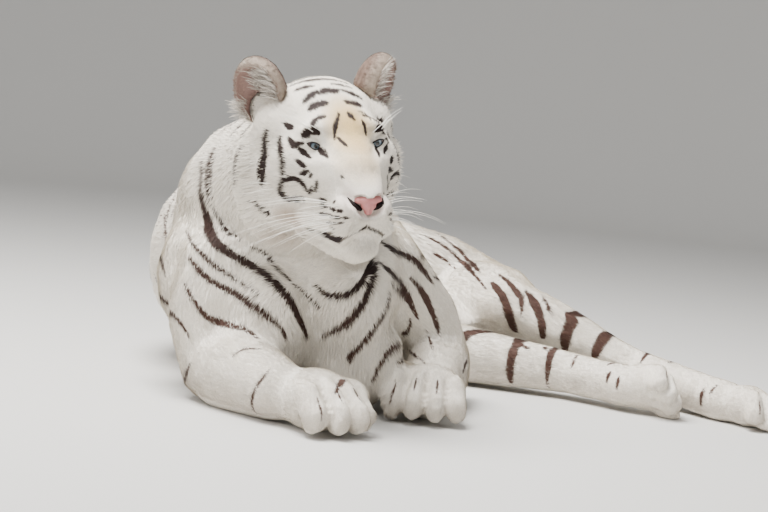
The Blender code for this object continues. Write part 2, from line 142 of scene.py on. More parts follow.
# ------------------------------------------------------------------ skin: its shape
# The hide under the coat, in one piece from nose to tail. It is the flesh of the frame melted
# together, eased, worked finer on the head and feet, and modelled on the face and toes.

NOT_FLESH = ("eye_right", "eye_left", "nose")
FLESH = [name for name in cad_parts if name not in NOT_FLESH]
EARS = ("ear_right", "ear_left")
CLOSE_CUTS = 0.0009  # how far each part is let out, so that the thin cuts close
WELD = 1e-5
SKIN_VOXEL = 0.0084
EASING, SECOND_EASING = 34, 12
EASE_PUSH, EASE_BACK = 0.55, -0.565
HEAD_ZONE_AT, HEAD_ZONE = (0, 0.02, 0), 0.175
FACE_ZONE_AT, FACE_ZONE = (0, 0.105, -0.005), (0.090, 0.115, 0.105)


def mesh_points(mesh, kind="co"):
    values = np.empty(len(mesh.vertices) * 3, np.float32)
    mesh.vertices.foreach_get(kind, values)
    return values.reshape(-1, 3).astype(np.float64)


def set_points(mesh, points):
    mesh.vertices.foreach_set("co", points.astype(np.float32).ravel())
    mesh.update()


def mesh_edges(mesh):
    ends = np.empty(len(mesh.edges) * 2, np.int32)
    mesh.edges.foreach_get("vertices", ends)
    return ends.reshape(-1, 2)


def let_out(names, by):
    """Copies of the frame's parts, merged, let out along their normals and laid in one mesh."""
    together = bmesh.new()
    for name in names:
        part = bmesh.new()
        part.from_mesh(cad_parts[name].data)
        bmesh.ops.remove_doubles(part, verts=part.verts, dist=WELD)
        part.normal_update()
        for vert in part.verts:
            vert.co += vert.normal * by
        mesh = bpy.data.meshes.new("part")
        part.to_mesh(mesh)
        part.free()
        together.from_mesh(mesh)
        bpy.data.meshes.remove(mesh)
    mesh = bpy.data.meshes.new("flesh")
    together.to_mesh(mesh)
    together.free()
    return mesh


def melted(mesh, voxel):
    """The mesh remade as one even skin."""
    obj = bpy.data.objects.new("melting", mesh)
    bpy.context.scene.collection.objects.link(obj)
    remesh = obj.modifiers.new("melt", "REMESH")
    remesh.mode = "VOXEL"
    remesh.voxel_size = voxel
    graph = bpy.context.evaluated_depsgraph_get()
    result = bpy.data.meshes.new_from_object(obj.evaluated_get(graph))
    bpy.data.objects.remove(obj)
    bpy.data.meshes.remove(mesh)
    return result


def neighbours_mean(values, ends, count):
    """For each point, the mean of a value over the points that share an edge with it."""
    links = np.bincount(ends.ravel(), minlength=count).astype(float)
    total = np.empty((count, values.shape[1]))
    for k in range(values.shape[1]):
        total[:, k] = np.bincount(ends[:, 0], values[ends[:, 1], k], count)
        total[:, k] += np.bincount(ends[:, 1], values[ends[:, 0], k], count)
    return total / np.maximum(links, 1)[:, None]


def eased(points, ends, steps, share):
    """The points smoothed without shrinking, each by its own share."""
    for _ in range(steps):
        for push in (EASE_PUSH, EASE_BACK):
            mean = neighbours_mean(points, ends, len(points))
            points = points + (mean - points) * (push * share)[:, None]
    return points


def ramp(values, start, end):
    """0 before start, 1 after end, smooth between."""
    t = np.clip((values - start) / (end - start), 0, 1)
    return t * t * (3 - 2 * t)


def in_head(points):
    """Points in the head's own axes."""
    axes = np.array(HEAD.to_3x3())
    return (points - np.array(HEAD.translation)) @ axes


def out_of_head(points):
    """Points in the head's own axes, back in the frame."""
    axes = np.array(HEAD.to_3x3())
    return points @ axes.T + np.array(HEAD.translation)


def in_ball(points, centre, radii):
    """How deep each point is in an ellipsoid: 1 at its middle, 0 at its edge and beyond."""
    square = (((points - np.array(centre)) / np.array(radii)) ** 2).sum(axis=1)
    return np.clip(1 - square, 0, 1) ** 1.5


def split_faces(mesh, chosen):
    """The mesh with each edge between two chosen points halved."""
    bm = bmesh.new()
    bm.from_mesh(mesh)
    bm.edges.ensure_lookup_table()
    edges = [e for e in bm.edges if chosen[e.verts[0].index] and chosen[e.verts[1].index]]
    bmesh.ops.subdivide_edges(bm, edges=edges, cuts=1, use_grid_fill=True)
    bmesh.ops.triangulate(bm, faces=[f for f in bm.faces if len(f.verts) > 4])
    bm.to_mesh(mesh)
    bm.free()


PAWS = (  # middle, way ahead and way up in the body, and size
    ((0.076, -0.598, 0.042), (0.66, -0.75, 0), (0, 0, 1), 1.16),
    ((0.243, -0.385, 0.042), (-0.005, -0.055, 0), (0, 0, 1), 1.12),
    ((0.643, -0.078, 0.044), (0.133, -0.113, -0.004), (0.55, 0.55, 0.65), 0.90),
    ((0.825, -0.105, 0.030), (0.185, -0.225, -0.024), (0.2, 0.2, 0.95), 0.88),
)
TOES = (-1.5, -0.5, 0.5, 1.5)
TOE_APART, TOE_FAN = 0.0235, 9  # between toes in metres at full size, and in degrees


def paw_axes(paw):
    """A paw's own axes as rows: x across, y to the toes, z up."""
    y = Vector(paw[1]).normalized()
    x = y.cross(Vector(paw[2])).normalized()
    return Matrix((x, y, x.cross(y)))


def in_paw(points, paw):
    """Points in a paw's own axes, at full size."""
    return (points - np.array(BODY + Vector(paw[0]))) @ np.array(paw_axes(paw)).T / paw[3]


def near_paws(points):
    """Whether each point is on the toes of a paw."""
    near = np.zeros(len(points), bool)
    for paw in PAWS:
        local = in_paw(points, paw)
        near |= (np.linalg.norm(local - (0, 0.025, 0), axis=1) < 0.068) & (local[:, 1] > -0.015)
    return near


def share_on_head(points):
    """1 on the head, 0 on the body, smooth between."""
    away = np.linalg.norm(in_head(points) - (0, 0.03, 0), axis=1)
    return 1 - ramp(away, 0.17, 0.24)


hide = melted(let_out([n for n in [*FLESH, *NOT_FLESH] if n not in EARS], CLOSE_CUTS), SKIN_VOXEL)
points = mesh_points(hide)
ends = mesh_edges(hide)
points = eased(points, ends, EASING, 1 - 0.72 * share_on_head(points))
set_points(hide, points)
split_faces(hide, np.linalg.norm(in_head(points) - HEAD_ZONE_AT, axis=1) < HEAD_ZONE)
points = mesh_points(hide)
split_faces(hide, in_ball(in_head(points), FACE_ZONE_AT, FACE_ZONE) > 0)
points = mesh_points(hide)
split_faces(hide, near_paws(points))
points = mesh_points(hide)
ends = mesh_edges(hide)
points = eased(points, ends, SECOND_EASING, share_on_head(points))
set_points(hide, points)

EYE_RADIUS = 0.0185
EYE_ACROSS, EYE_OVER, EYE_UNDER = 0.0132, 0.0048, 0.0056  # half length and heights of the opening
EYE_SLANT, EYE_INWARD, EYE_LEVEL = 20, 6, 3  # degrees: inner corner down, towards the nose, up
LID_THICK, LID_OUT = 0.0024, 0.0030  # over the eyeball, at the edge of the opening and away from it
RIGHT, LEFT = 1, -1


def eye_frame(side):
    """Axes of an eye's opening: x to the inner corner, y up the lid, z out of the eye."""
    x, y, z = EYE_IN_HEAD
    out = Matrix.Rotation(math.radians(side * EYE_INWARD), 3, "Z") @ Vector((0, 1, 0))
    out = (out + Vector((0, 0, math.sin(math.radians(EYE_LEVEL))))).normalized()
    inner = Vector((-side, 0, -math.tan(math.radians(EYE_SLANT))))
    inner = (inner - inner.dot(out) * out).normalized()
    up = out.cross(inner)
    up = up if up.z > 0 else -up
    turn = Matrix((inner, up, out)).transposed().to_4x4()
    return HEAD @ Matrix.Translation((side * x, y, z)) @ turn


def in_frame(points, place):
    axes = np.array(place.to_3x3())
    return (points - np.array(place.translation)) @ axes


def out_of_frame(points, place):
    return points @ np.array(place.to_3x3()).T + np.array(place.translation)


def lid_edge(across):
    """Heights of the upper and the lower lid's edge over the eye, from the outer corner to the inner."""
    t = np.clip(np.abs(across) / EYE_ACROSS, 0, 1)
    over = EYE_OVER * (1 - t ** 2.2) - 0.10 * across * (1 - t)
    under = EYE_UNDER * (1 - t ** 1.8)
    return over, under


def by_opening(local):
    """The height of the opening above or below each place, and how far the place is from the opening."""
    over, under = lid_edge(local[:, 0])
    height = np.where(local[:, 1] > 0, over, under)
    beyond = np.maximum(np.abs(local[:, 0]) - EYE_ACROSS, 0)
    return height, np.hypot(np.maximum(np.abs(local[:, 1]) - height, 0), beyond)


def over_eye(points, side, by):
    """Pushes skin that is sunk in the eyeball out over it, but for the opening between the lids."""
    place = eye_frame(side)
    local = in_frame(points, place)
    clear = by_opening(local)[1]
    reach = np.linalg.norm(local, axis=1)
    least = EYE_RADIUS + by * ramp(clear, 0.0, 0.004)
    sunk = (reach < least) & (local[:, 2] > -0.013) & (clear > 0.0005)
    local[sunk] *= (least[sunk] / np.maximum(reach[sunk], 1e-4))[:, None]
    return out_of_frame(local, place)


def lids(points, side):
    """Draws the skin over the eye as lids, and in behind it where they are open."""
    place = eye_frame(side)
    local = in_frame(points, place)
    reach = np.linalg.norm(local, axis=1)
    height, clear = by_opening(local)
    inside = np.minimum(height - np.abs(local[:, 1]), EYE_ACROSS - np.abs(local[:, 0]))
    ahead = (local[:, 2] > 0.004) & (reach < 0.045)
    drape = (1 - ramp(clear, 0.0035, 0.0125)) * ahead
    wanted = EYE_RADIUS + LID_THICK - 0.0075 * ramp(inside, 0.0, 0.0022)
    moved = local * (1 + drape * (wanted / np.maximum(reach, 1e-4) - 1))[:, None]
    return over_eye(out_of_frame(moved, place), side, LID_OUT)


def raised(points, normals, centre, radii, amount):
    """Raises, or with a minus sinks, a patch of the head, and its fellow on the other side."""
    local = in_head(points)
    near = np.maximum(in_ball(local, centre, radii), in_ball(local, (-centre[0], *centre[1:]), radii))
    return points + normals * (near * amount)[:, None]


def line_distance(points, path):
    """Distance of each point from a path, and how far along it the nearest place is, 0 to 1."""
    path = np.array(path, float)
    lengths = np.linalg.norm(np.diff(path, axis=0), axis=1)
    done = np.concatenate([[0], np.cumsum(lengths)]) / lengths.sum()
    best = np.full(len(points), np.inf)
    along = np.zeros(len(points))
    for k, (a, b) in enumerate(zip(path[:-1], path[1:])):
        t = np.clip((points - a) @ (b - a) / ((b - a) @ (b - a)), 0, 1)
        away = np.linalg.norm(points - a - t[:, None] * (b - a), axis=1)
        closer = away < best
        best[closer] = away[closer]
        along[closer] = (done[k] + t * (done[k + 1] - done[k]))[closer]
    return best, along


MOUTH_FRONT = ((0, -0.065), (0.013, -0.071), (0.025, -0.077), (0.034, -0.083))  # across and up
MOUTH_SIDE = ((0.152, -0.087), (0.138, -0.085), (0.124, -0.080), (0.108, -0.077))  # ahead and up
PHILTRUM = ((0, -0.046), (0, -0.055), (0, -0.066))  # across and up
MUZZLE_NARROWED = 0.26
NOSE_BED_AHEAD, NOSE_BED_UP = 0.178, -0.034  # where the nose leather is set in
NOSTRIL = ((0.0282, -0.0200, 0.0006), (0.0256, -0.0248, 0.0026), (0.0214, -0.0302, 0.0044),
           (0.0158, -0.0346, 0.0048), (0.0092, -0.0384, 0.0026))  # across, up and half thickness
FACE_FORMS = (  # middle, reach and rise in the head; each has its fellow on the other side
    ((0.058, 0.130, 0.000), (0.030, 0.050, 0.030), -0.0060),   # hollow before the cheek
    ((0.047, 0.090, 0.074), (0.034, 0.040, 0.018), 0.0045),    # brow
    ((0.030, 0.108, 0.030), (0.012, 0.030, 0.016), -0.0035),   # tear groove
    ((0.060, 0.085, 0.018), (0.030, 0.035, 0.012), 0.0020),    # under the eye
    ((0, 0.130, 0.030), (0.026, 0.070, 0.030), 0.0025),        # bridge
    ((0, 0.080, 0.095), (0.012, 0.050, 0.035), -0.0018),       # furrow of the forehead
    ((0.029, 0.168, -0.055), (0.024, 0.034, 0.020), 0.0050),   # whisker pad
    ((0.021, 0.180, -0.030), (0.010, 0.016, 0.013), 0.0025),   # wing of the nose
    ((0, 0.158, -0.100), (0.036, 0.040, 0.026), 0.0120),       # chin
    ((0.078, 0.055, -0.015), (0.030, 0.050, 0.034), 0.0025),   # cheek bone
)


def seen_ahead(local):
    """Places of the head seen from ahead, with the left half laid on the right."""
    return np.abs(local[:, 0:1]) * (1, 0, 0) + local * (0, 0, 1)


def nostril_distance(local, aside=0.0):
    """How far each place lies from the nearer nostril, seen from ahead."""
    return line_distance(seen_ahead(local), [(x + aside, 0, z - aside) for x, z, _ in NOSTRIL])[0]


def pinched(local):
    """The skin pressed back round the nostrils, with the wings of the nose swelling beside them."""
    near = local[:, 1] > 0.150
    swell = 0.0022 * np.exp(-(nostril_distance(local, 0.007) / 0.0050) ** 2)
    sink = 0.0075 * np.exp(-(nostril_distance(local) / 0.0045) ** 2)
    local[:, 1] += (swell - sink) * near
    return local


def modelled(points, normals):
    """The face: its forms, a narrower muzzle, and a bed for the nose leather and for its ends."""
    for centre, radii, amount in FACE_FORMS:
        points = raised(points, normals, centre, radii, amount)
    local = in_head(points)
    folded = np.abs(local[:, 0:1]) * (1, 0, 0) + local * (0, 1, 1)
    pads = in_ball(folded, (0.060, 0.165, -0.045), (0.050, 0.060, 0.060))
    local[:, 0] *= 1 - MUZZLE_NARROWED * np.clip(1.6 * pads, 0, 1)
    local = pinched(local)
    bed = in_ball(local * (1, 0, 1), (0, 0, NOSE_BED_UP), (0.024, 1, 0.017)) * (local[:, 1] > 0.12)
    sunk = np.minimum(local[:, 1], NOSE_BED_AHEAD)
    local[:, 1] += (sunk - local[:, 1]) * np.clip(3 * bed, 0, 1)
    beside = in_ball(seen_ahead(local), (0.0155, 0, -0.0215), (0.0110, 1, 0.0090))
    sunk = np.minimum(local[:, 1], 0.1800)
    local[:, 1] += (sunk - local[:, 1]) * np.clip(3 * beside * (local[:, 1] > 0.12), 0, 1)
    return out_of_head(local)


def beside_toe(local, toe):
    """How far each place of a paw lies to the side of a toe, or of a gap for a whole number."""
    turn = math.radians(TOE_FAN * toe)
    return local[:, 0] * math.cos(turn) - local[:, 1] * math.sin(turn) - TOE_APART * toe


def with_toes(points, normals):
    """Grooves between the toes, and knuckles."""
    for paw in PAWS:
        local = in_paw(points, paw)
        here = (np.linalg.norm(local, axis=1) < 0.11) * ramp(local[:, 2], -0.036, -0.022)
        for gap in (-1, 0, 1):
            groove = np.exp(-(beside_toe(local, gap) / 0.0046) ** 2) * ramp(local[:, 1], 0.012, 0.042)
            points = points - normals * (0.0085 * paw[3] * here * groove)[:, None]
        for toe in TOES:
            across = beside_toe(local, toe)
            knuckle = np.exp(-(across / 0.008) ** 2 - ((local[:, 1] - 0.030) / 0.014) ** 2)
            knuckle += 0.6 * np.exp(-(across / 0.008) ** 2 - ((local[:, 1] - 0.066) / 0.012) ** 2)
            points = points + normals * (0.0030 * paw[3] * here * knuckle)[:, None]
    return points


def on_skin(drawing, side, points):
    """Places of a drawing of the face, seen from ahead or with a side from that side, laid on the skin."""
    tree = BVHTree.FromPolygons(in_head(points).tolist(), [tuple(p.vertices) for p in hide.polygons])
    hits = []
    for a, b in drawing:
        start, way = ((a, 1, b), (0, -1, 0)) if side is None else ((side, a, b), (-side, 0, 0))
        hits.append(tree.ray_cast(start, way)[0])
    return [tuple(hit) for hit in hits if hit]


points = modelled(points, mesh_points(hide, "normal"))
set_points(hide, points)
MOUTHS = []
for side in (RIGHT, LEFT):
    front = on_skin([(side * x, z) for x, z in MOUTH_FRONT], None, points)
    MOUTHS.append(front + on_skin(MOUTH_SIDE, side, points))
PHILTRUM_LINE = on_skin(PHILTRUM, None, points)


def mouth_distance(local):
    """How far beside the line of the mouth each place of the head lies, and how far along it that is."""
    best, best_along = np.full(len(local), np.inf), np.zeros(len(local))
    for line in MOUTHS:
        away, along = line_distance(local, line)
        line = np.array(line)
        done = np.concatenate([[0], np.cumsum(np.linalg.norm(np.diff(line, axis=0), axis=1))])
        nearest = np.stack([np.interp(along * done[-1], done, line[:, axis]) for axis in range(3)], 1)
        out = (nearest - (0, 0.12, 0)) * (1, 1, 0)
        out /= np.linalg.norm(out, axis=1)[:, None]
        inward = np.clip(((nearest - local) * out).sum(axis=1), 0, 0.014)
        away = np.sqrt(np.maximum(away ** 2 - inward ** 2, 0))
        closer = away < best
        best[closer], best_along[closer] = away[closer], along[closer]
    return best, best_along


def with_mouth(points, normals):
    """The line of the mouth and the philtrum pressed in, with fuller lips beside them."""
    local = in_head(points)
    away, along = mouth_distance(local)
    groove = np.exp(-(away / 0.0034) ** 2) * (0.0085 - 0.003 * along)
    above = np.exp(-((away - 0.009) / 0.005) ** 2) * (local[:, 1] > 0.09)
    away, _ = line_distance(local, PHILTRUM_LINE)
    groove = np.maximum(groove, 0.0045 * np.exp(-(away / 0.0022) ** 2))
    return points + normals * (0.0016 * above - groove)[:, None]


points = with_mouth(points, mesh_points(hide, "normal"))
points = with_toes(points, mesh_points(hide, "normal"))
for side in (RIGHT, LEFT):
    points = lids(points, side)
set_points(hide, points)

# ------------------------------------------------------------------ skin: the lie of its coat
# Hair grows from the nose back over the head, along the back to the tail, and down each leg to the
# toes. Each row is a place on such a line: x, y, z, half thickness, depth of coat, length of hair.

GROWTH = {
    "back": ((0.040, -0.400, 0.390, 0.115, 0.009, 0.026), (-0.018, -0.300, 0.348, 0.140, 0.012, 0.030),
             (-0.060, -0.190, 0.310, 0.155, 0.012, 0.030), (-0.065, -0.040, 0.235, 0.190, 0.010, 0.028),
             (-0.095, 0.110, 0.200, 0.190, 0.009, 0.027), (-0.055, 0.280, 0.180, 0.185, 0.009, 0.028),
             (0.080, 0.410, 0.155, 0.150, 0.009, 0.028), (0.240, 0.470, 0.128, 0.135, 0.008, 0.026),
             (0.370, 0.485, 0.104, 0.110, 0.008, 0.024), (0.440, 0.482, 0.088, 0.065, 0.007, 0.022)),
    "tail": ((0.440, 0.480, 0.080, 0.040, 0.006, 0.020), (0.540, 0.510, 0.045, 0.032, 0.005, 0.019),
             (0.580, 0.600, 0.030, 0.028, 0.005, 0.018), (0.490, 0.690, 0.027, 0.026, 0.005, 0.017),
             (0.340, 0.720, 0.026, 0.025, 0.005, 0.016), (0.190, 0.700, 0.025, 0.024, 0.005, 0.016),
             (0.060, 0.640, 0.024, 0.022, 0.005, 0.016), (-0.050, 0.560, 0.022, 0.018, 0.004, 0.015),
             (-0.100, 0.520, 0.020, 0.010, 0.003, 0.012)),
    "throat": ((0.065, -0.480, 0.300, 0.090, 0.011, 0.034), (0.075, -0.430, 0.230, 0.110, 0.011, 0.034),
               (0.100, -0.390, 0.150, 0.100, 0.010, 0.030), (0.110, -0.360, 0.040, 0.090, 0.007, 0.026)),
    "arm_right": ((-0.120, -0.110, 0.360, 0.095, 0.011, 0.028), (-0.105, -0.330, 0.225, 0.100, 0.008, 0.024),
                  (-0.108, -0.382, 0.070, 0.070, 0.006, 0.018), (-0.050, -0.470, 0.060, 0.068, 0.005, 0.016),
                  (0.010, -0.556, 0.052, 0.052, 0.004, 0.013), (0.076, -0.598, 0.042, 0.056, 0.003, 0.010),
                  (0.118, -0.650, 0.030, 0.040, 0.002, 0.007)),
    "arm_left": ((0.045, -0.070, 0.320, 0.095, 0.011, 0.028), (0.140, -0.260, 0.220, 0.095, 0.008, 0.024),
                 (0.258, -0.120, 0.064, 0.070, 0.006, 0.018), (0.254, -0.225, 0.060, 0.068, 0.005, 0.016),
                 (0.248, -0.330, 0.056, 0.052, 0.004, 0.013), (0.243, -0.385, 0.042, 0.056, 0.003, 0.010),
                 (0.242, -0.450, 0.030, 0.040, 0.002, 0.007)),
    "leg_right": ((0.240, 0.450, 0.090, 0.110, 0.008, 0.026), (0.230, 0.140, 0.062, 0.070, 0.006, 0.020),
                  (0.510, 0.035, 0.048, 0.044, 0.004, 0.015), (0.600, -0.040, 0.046, 0.040, 0.003, 0.012),
                  (0.643, -0.078, 0.044, 0.044, 0.003, 0.009), (0.680, -0.112, 0.040, 0.034, 0.002, 0.007)),
    "leg_left": ((0.330, 0.440, 0.136, 0.110, 0.008, 0.026), (0.405, 0.215, 0.140, 0.075, 0.006, 0.020),
                 (0.640, 0.120, 0.054, 0.044, 0.004, 0.015), (0.740, 0.000, 0.040, 0.040, 0.003, 0.012),
                 (0.825, -0.105, 0.030, 0.044, 0.003, 0.009), (0.862, -0.150, 0.024, 0.034, 0.002, 0.007)),
}
LOCAL = 7  # how sharply a place follows the nearest line rather than the others


def growth_line(name):
    """A line's rows, with their places in the frame."""
    rows = np.array(GROWTH[name])
    rows[:, :3] += np.array(BODY)
    return rows


def along_line(points, name):
    """Where each point lies by a line of growth: its row number as a share, how far out it is
    in half thicknesses, the way the line runs there, and its angle from the top."""
    rows = growth_line(name)
    station = np.zeros(len(points))
    out = np.full(len(points), np.inf)
    way = np.zeros((len(points), 3))
    foot = np.zeros((len(points), 3))
    for k, (a, b) in enumerate(zip(rows[:-1], rows[1:])):
        step = b[:3] - a[:3]
        t = np.clip((points - a[:3]) @ step / (step @ step), 0, 1)
        at = a[:3] + t[:, None] * step
        thick = a[3] + t * (b[3] - a[3])
        ratio = np.linalg.norm(points - at, axis=1) / thick
        closer = ratio < out
        out[closer] = ratio[closer]
        station[closer] = (k + t)[closer]
        way[closer] = step / np.linalg.norm(step)
        foot[closer] = at[closer]
    side = np.cross(way, (0, 0, 1.0))
    side /= np.maximum(np.linalg.norm(side, axis=1), 1e-6)[:, None]
    top = np.cross(side, way)
    arm = points - foot
    angle = np.degrees(np.arctan2((arm * side).sum(axis=1), (arm * top).sum(axis=1)))
    return station, out, way, angle


def blended(points):
    """The way the hair runs, the coat's depth and the hair's length, mixed from all the lines."""
    total = np.zeros(len(points))
    way = np.zeros((len(points), 3))
    depth = np.zeros(len(points))
    length = np.zeros(len(points))
    nearest = np.zeros(len(points), int)
    best = np.full(len(points), np.inf)
    for number, name in enumerate(GROWTH):
        station, out, runs, _ = along_line(points, name)
        weight = np.maximum(out, 0.3) ** -float(LOCAL)
        rows = growth_line(name)
        total += weight
        way += runs * weight[:, None]
        depth += weight * np.interp(station, range(len(rows)), rows[:, 4])
        length += weight * np.interp(station, range(len(rows)), rows[:, 5])
        nearest[out < best] = number
        best = np.minimum(best, out)
    return way / total[:, None], depth / total, length / total, nearest


# ------------------------------------------------------------------ skin: its stripes
# The dark marks of the hide and coat. Each stripe is a line drawn on one elevation of the head or
# body, or wound round a leg, the tail or the trunk. It is laid on the skin and tapers to its ends.

points = mesh_points(hide)
drawing_skin = BVHTree.FromPolygons(points.tolist(), [tuple(p.vertices) for p in hide.polygons])
SAMPLES = 28  # rays along each stripe
TAPER = 0.55  # how blunt the ends of a stripe are, smaller for blunter
BOLD_HEAD, BOLD_BODY = 1.50, 1.30  # all marks of the head and of the body made this much wider
MOST_STEP = 0.030  # a longer step between two rays means that the stripe has run off an edge
FAR = 2.0  # where the rays of a drawing start from
WOUND_REACH = 1.8  # in half thicknesses of the line that a stripe is wound on
chance = np.random.default_rng(11)

# Marks of the head, in millimetres of the head's own axes: half width, then places on the drawing.
FACE_FRONT = (  # across and up, seen from ahead; the right side, which the left one mirrors
    (4.0, (57, 76), (47, 85), (31, 90)), (5.0, (71, 60), (58, 69), (47, 64)),
    (3.2, (83, 73), (74, 66)), (3.4, (82, 54), (80, 45), (69, 50)),
    (2.6, (77, 42), (70, 36), (62, 29)), (3.0, (82, 25), (72, 15)), (2.6, (80, 3), (68, 9)),
    (1.8, (68, 0), (65, 6)), (4.0, (92, 54), (99, 26), (101, -6)),
    (4.6, (101, -4), (99, -30), (88, -42), (72, -38)), (3.0, (101, -14), (91, -5), (79, -9), (70, -26)),
    (2.6, (68, -28), (66, -14)), (2.2, (62, -22), (59, -2)), (3.4, (49, 44), (45, 39), (42, 33)),
)
FACE_FRONT_ONCE = (  # marks of one side only
    (2.4, (8, 95), (20, 77), (26, 57)), (2.6, (-6, 95), (-14, 84)), (1.8, (-27, 84), (-30, 60)),
    (1.3, (-28, 95), (-41, 90), (-43, 82)), (1.6, (-74, 80), (-83, 66)), (1.8, (34, 10), (33, 7)),
    (2.0, (22, 62), (12, 50)),
)
FACE_SIDE = (  # ahead and up, seen from the side; both sides
    (5.6, (16, 60), (8, 27), (5, -5), (5, -30)), (3.0, (-30, 30), (-38, -5), (-34, -40)),
    (3.4, (-8, -58), (4, -72), (22, -80)), (3.0, (-62, 40), (-72, 0), (-64, -50)),
    (3.0, (118, -34), (125, -33)), (2.2, (145, -29), (151, -28)),
    (1.8, (119, -41), (129, -41)), (1.5, (135, -40), (145, -40)), (2.1, (149, -40), (162, -39)),
    (1.9, (165, -39), (177, -38)), (2.0, (120, -53), (139, -52)), (2.1, (141, -52), (158, -51)),
    (2.0, (160, -50), (175, -49)), (1.4, (178, -48), (188, -47)), (1.5, (136, -65), (150, -63)),
    (1.4, (153, -62), (166, -60)), (1.2, (170, -59), (182, -56)), (1.1, (150, -72), (160, -70)),
)
CROWN_TOP = (  # across and ahead, seen from above
    (3.6, (56, -38), (24, -19), (-8, -12), (-38, -8)), (3.4, (55, -8), (26, 5)), (2.6, (-2, 8), (-38, 9)),
    (5.0, (26, 27), (12, 24), (0, 27), (-10, 24)), (4.4, (52, 27), (38, 24), (26, 20)),
    (3.4, (-12, 24), (-31, 26), (-50, 27)), (5.0, (50, 42), (35, 43), (18, 47)),
    (4.2, (-10, 47), (-26, 47), (-43, 43)), (4.0, (50, -60), (22, -46), (0, -44), (-24, -50), (-48, -62)),
    (3.6, (40, -84), (12, -72), (-16, -74), (-42, -86)),
)
# Marks of the neck, chest, arms and hips seen from ahead: across and up in centimetres of the body.
BODY_FRONT = (
    (7.0, (-17.2, 38.5), (-16.2, 32), (-13.5, 27), (-9, 24.2), (-4, 22.2), (0, 19.3), (2.5, 16), (4.2, 12)),
    (2.8, (-18.4, 27), (-13.5, 23.2), (-8, 20.3), (-4.5, 18.8)),
    (2.6, (-14.6, 31.6), (-11.6, 28.3), (-8.4, 26.4)),
    (5.0, (-17, 23.2), (-13, 20.2), (-8, 18.2), (-3.5, 16), (-0.3, 13.8), (0.8, 11.8)),
    (4.0, (-17.2, 19), (-15, 16.4), (-12.4, 14), (-9.3, 13.4), (-6.5, 13.2), (-3.6, 12.2)),
    (1.8, (-7.8, 9), (-5.8, 10.6), (-2.6, 11.1)), (2.4, (-1, 8.8), (-3, 5.4), (-3.4, 2.6), (-2.4, 1)),
    (3.4, (-25.5, 27.5), (-24, 23.5), (-22.2, 21), (-21, 19)),
    (4.0, (-25.5, 18), (-21.2, 14.6), (-17.8, 13), (-15.4, 10.6)),
    (4.6, (4.1, 20.9), (6.3, 19.7), (9.3, 20.0), (11.4, 21.7), (12.7, 24.0), (13.4, 26.5)),
    (5.6, (5.9, 12.3), (8.3, 14), (10.2, 15.6), (12, 18), (13, 20.4), (13.8, 23.1), (14, 25.6)),
    (2.0, (-7.1, 25.8), (-3.8, 24.2), (-0.5, 22.2), (2.8, 19.8), (5.5, 16.9)),
    (4.6, (17, 21), (16.6, 18), (15.1, 15.2), (13.6, 12.6), (11.4, 10), (9.6, 7)),
    (4.2, (20.6, 15), (20.3, 12.6), (18, 11.4), (16.2, 8.7), (15, 5.5)),
    (1.8, (19, 9.2), (21.2, 9.7), (23.4, 9.4)), (6.0, (14.6, 28.5), (17.6, 26.8), (20.8, 25.2), (24, 21.5)),
    (4.8, (14.4, 25.6), (16.7, 23.7), (18.6, 21.6), (20.4, 18), (22, 15)),
    (2.8, (17, 22), (19.7, 18.5), (21.2, 16.3)), (5.4, (19.8, 22.7), (22.3, 20), (24.1, 17), (25.9, 12.8)),
    (2.4, (23.6, 13.2), (24.6, 11)),
    (4.6, (21, 27.6), (26.6, 25.2), (29.7, 23.3), (32.2, 21.2), (33.8, 20)),
    (4.0, (21.4, 26), (26, 24.1), (29.9, 21.5), (32.7, 19.4), (34.8, 17.2)),
    (3.0, (23.9, 22.6), (26.8, 21.3), (29.3, 19.7)),
    (7.4, (35.8, 18.8), (38.2, 16.1), (39.7, 12.3), (41, 9.8), (43, 8.6)),
    (5.0, (37.3, 20.2), (39.4, 19), (41.5, 16.4), (41.8, 13)),
    (7.0, (42.5, 18.2), (44.2, 15.8), (45.5, 12.8), (46.2, 8.8)), (3.4, (45.9, 17.3), (47.4, 14.2)),
)
# Bands round a line of growth: line, station, angles from and to, half width in mm, slant in stations.
BANDS = (
    ("back", 1.24, -56, -100, 4.2, 0.15), ("back", 1.12, -66, -98, 2.6, 0.12),
    ("leg_left", 1.42, -110, 125, 9.5, 0.05), ("leg_left", 1.73, -100, 120, 8.5, 0.01),
    ("leg_left", 2.06, -70, 60, 3.4, 0.05), ("leg_left", 2.45, -80, 20, 2.8, 0.02),
    ("leg_left", 3.35, 60, 110, 3.2, 0), ("leg_left", 3.48, 40, 75, 2.6, 0),
    ("leg_right", 1.43, -120, 140, 9.5, 0), ("leg_right", 1.65, -115, 140, 8.0, 0.01),
    ("leg_right", 1.88, -100, 140, 5.0, 0.01), ("leg_right", 2.12, 10, 70, 2.4, 0.02),
    ("leg_right", 2.78, -10, 30, 3.0, 0), ("leg_right", 2.92, 50, 85, 3.0, 0),
    ("leg_right", 3.25, 60, 95, 3.0, 0), ("leg_right", 1.08, -130, -20, 7.0, 0.06),
    ("leg_left", 1.10, -150, -60, 6.5, 0.06),
    ("arm_left", 2.35, 60, 150, 3.4, 0.1), ("arm_left", 2.75, 70, 140, 3.0, 0.08),
    ("arm_right", 2.4, 90, 150, 3.0, 0.1),
)
CLAW_MARKS = (0, 0.9, 0.7, 0.8)  # how bold the brown marks over the claws are, toe by toe
CLAW_MARK_AHEAD = (0.044, 0.055, 0.064)  # their course along the toe
FLANK_STRIPES, NAPE_STRIPES, TAIL_RINGS = 11, 3, 11

ink_places, ink_widths = [], []


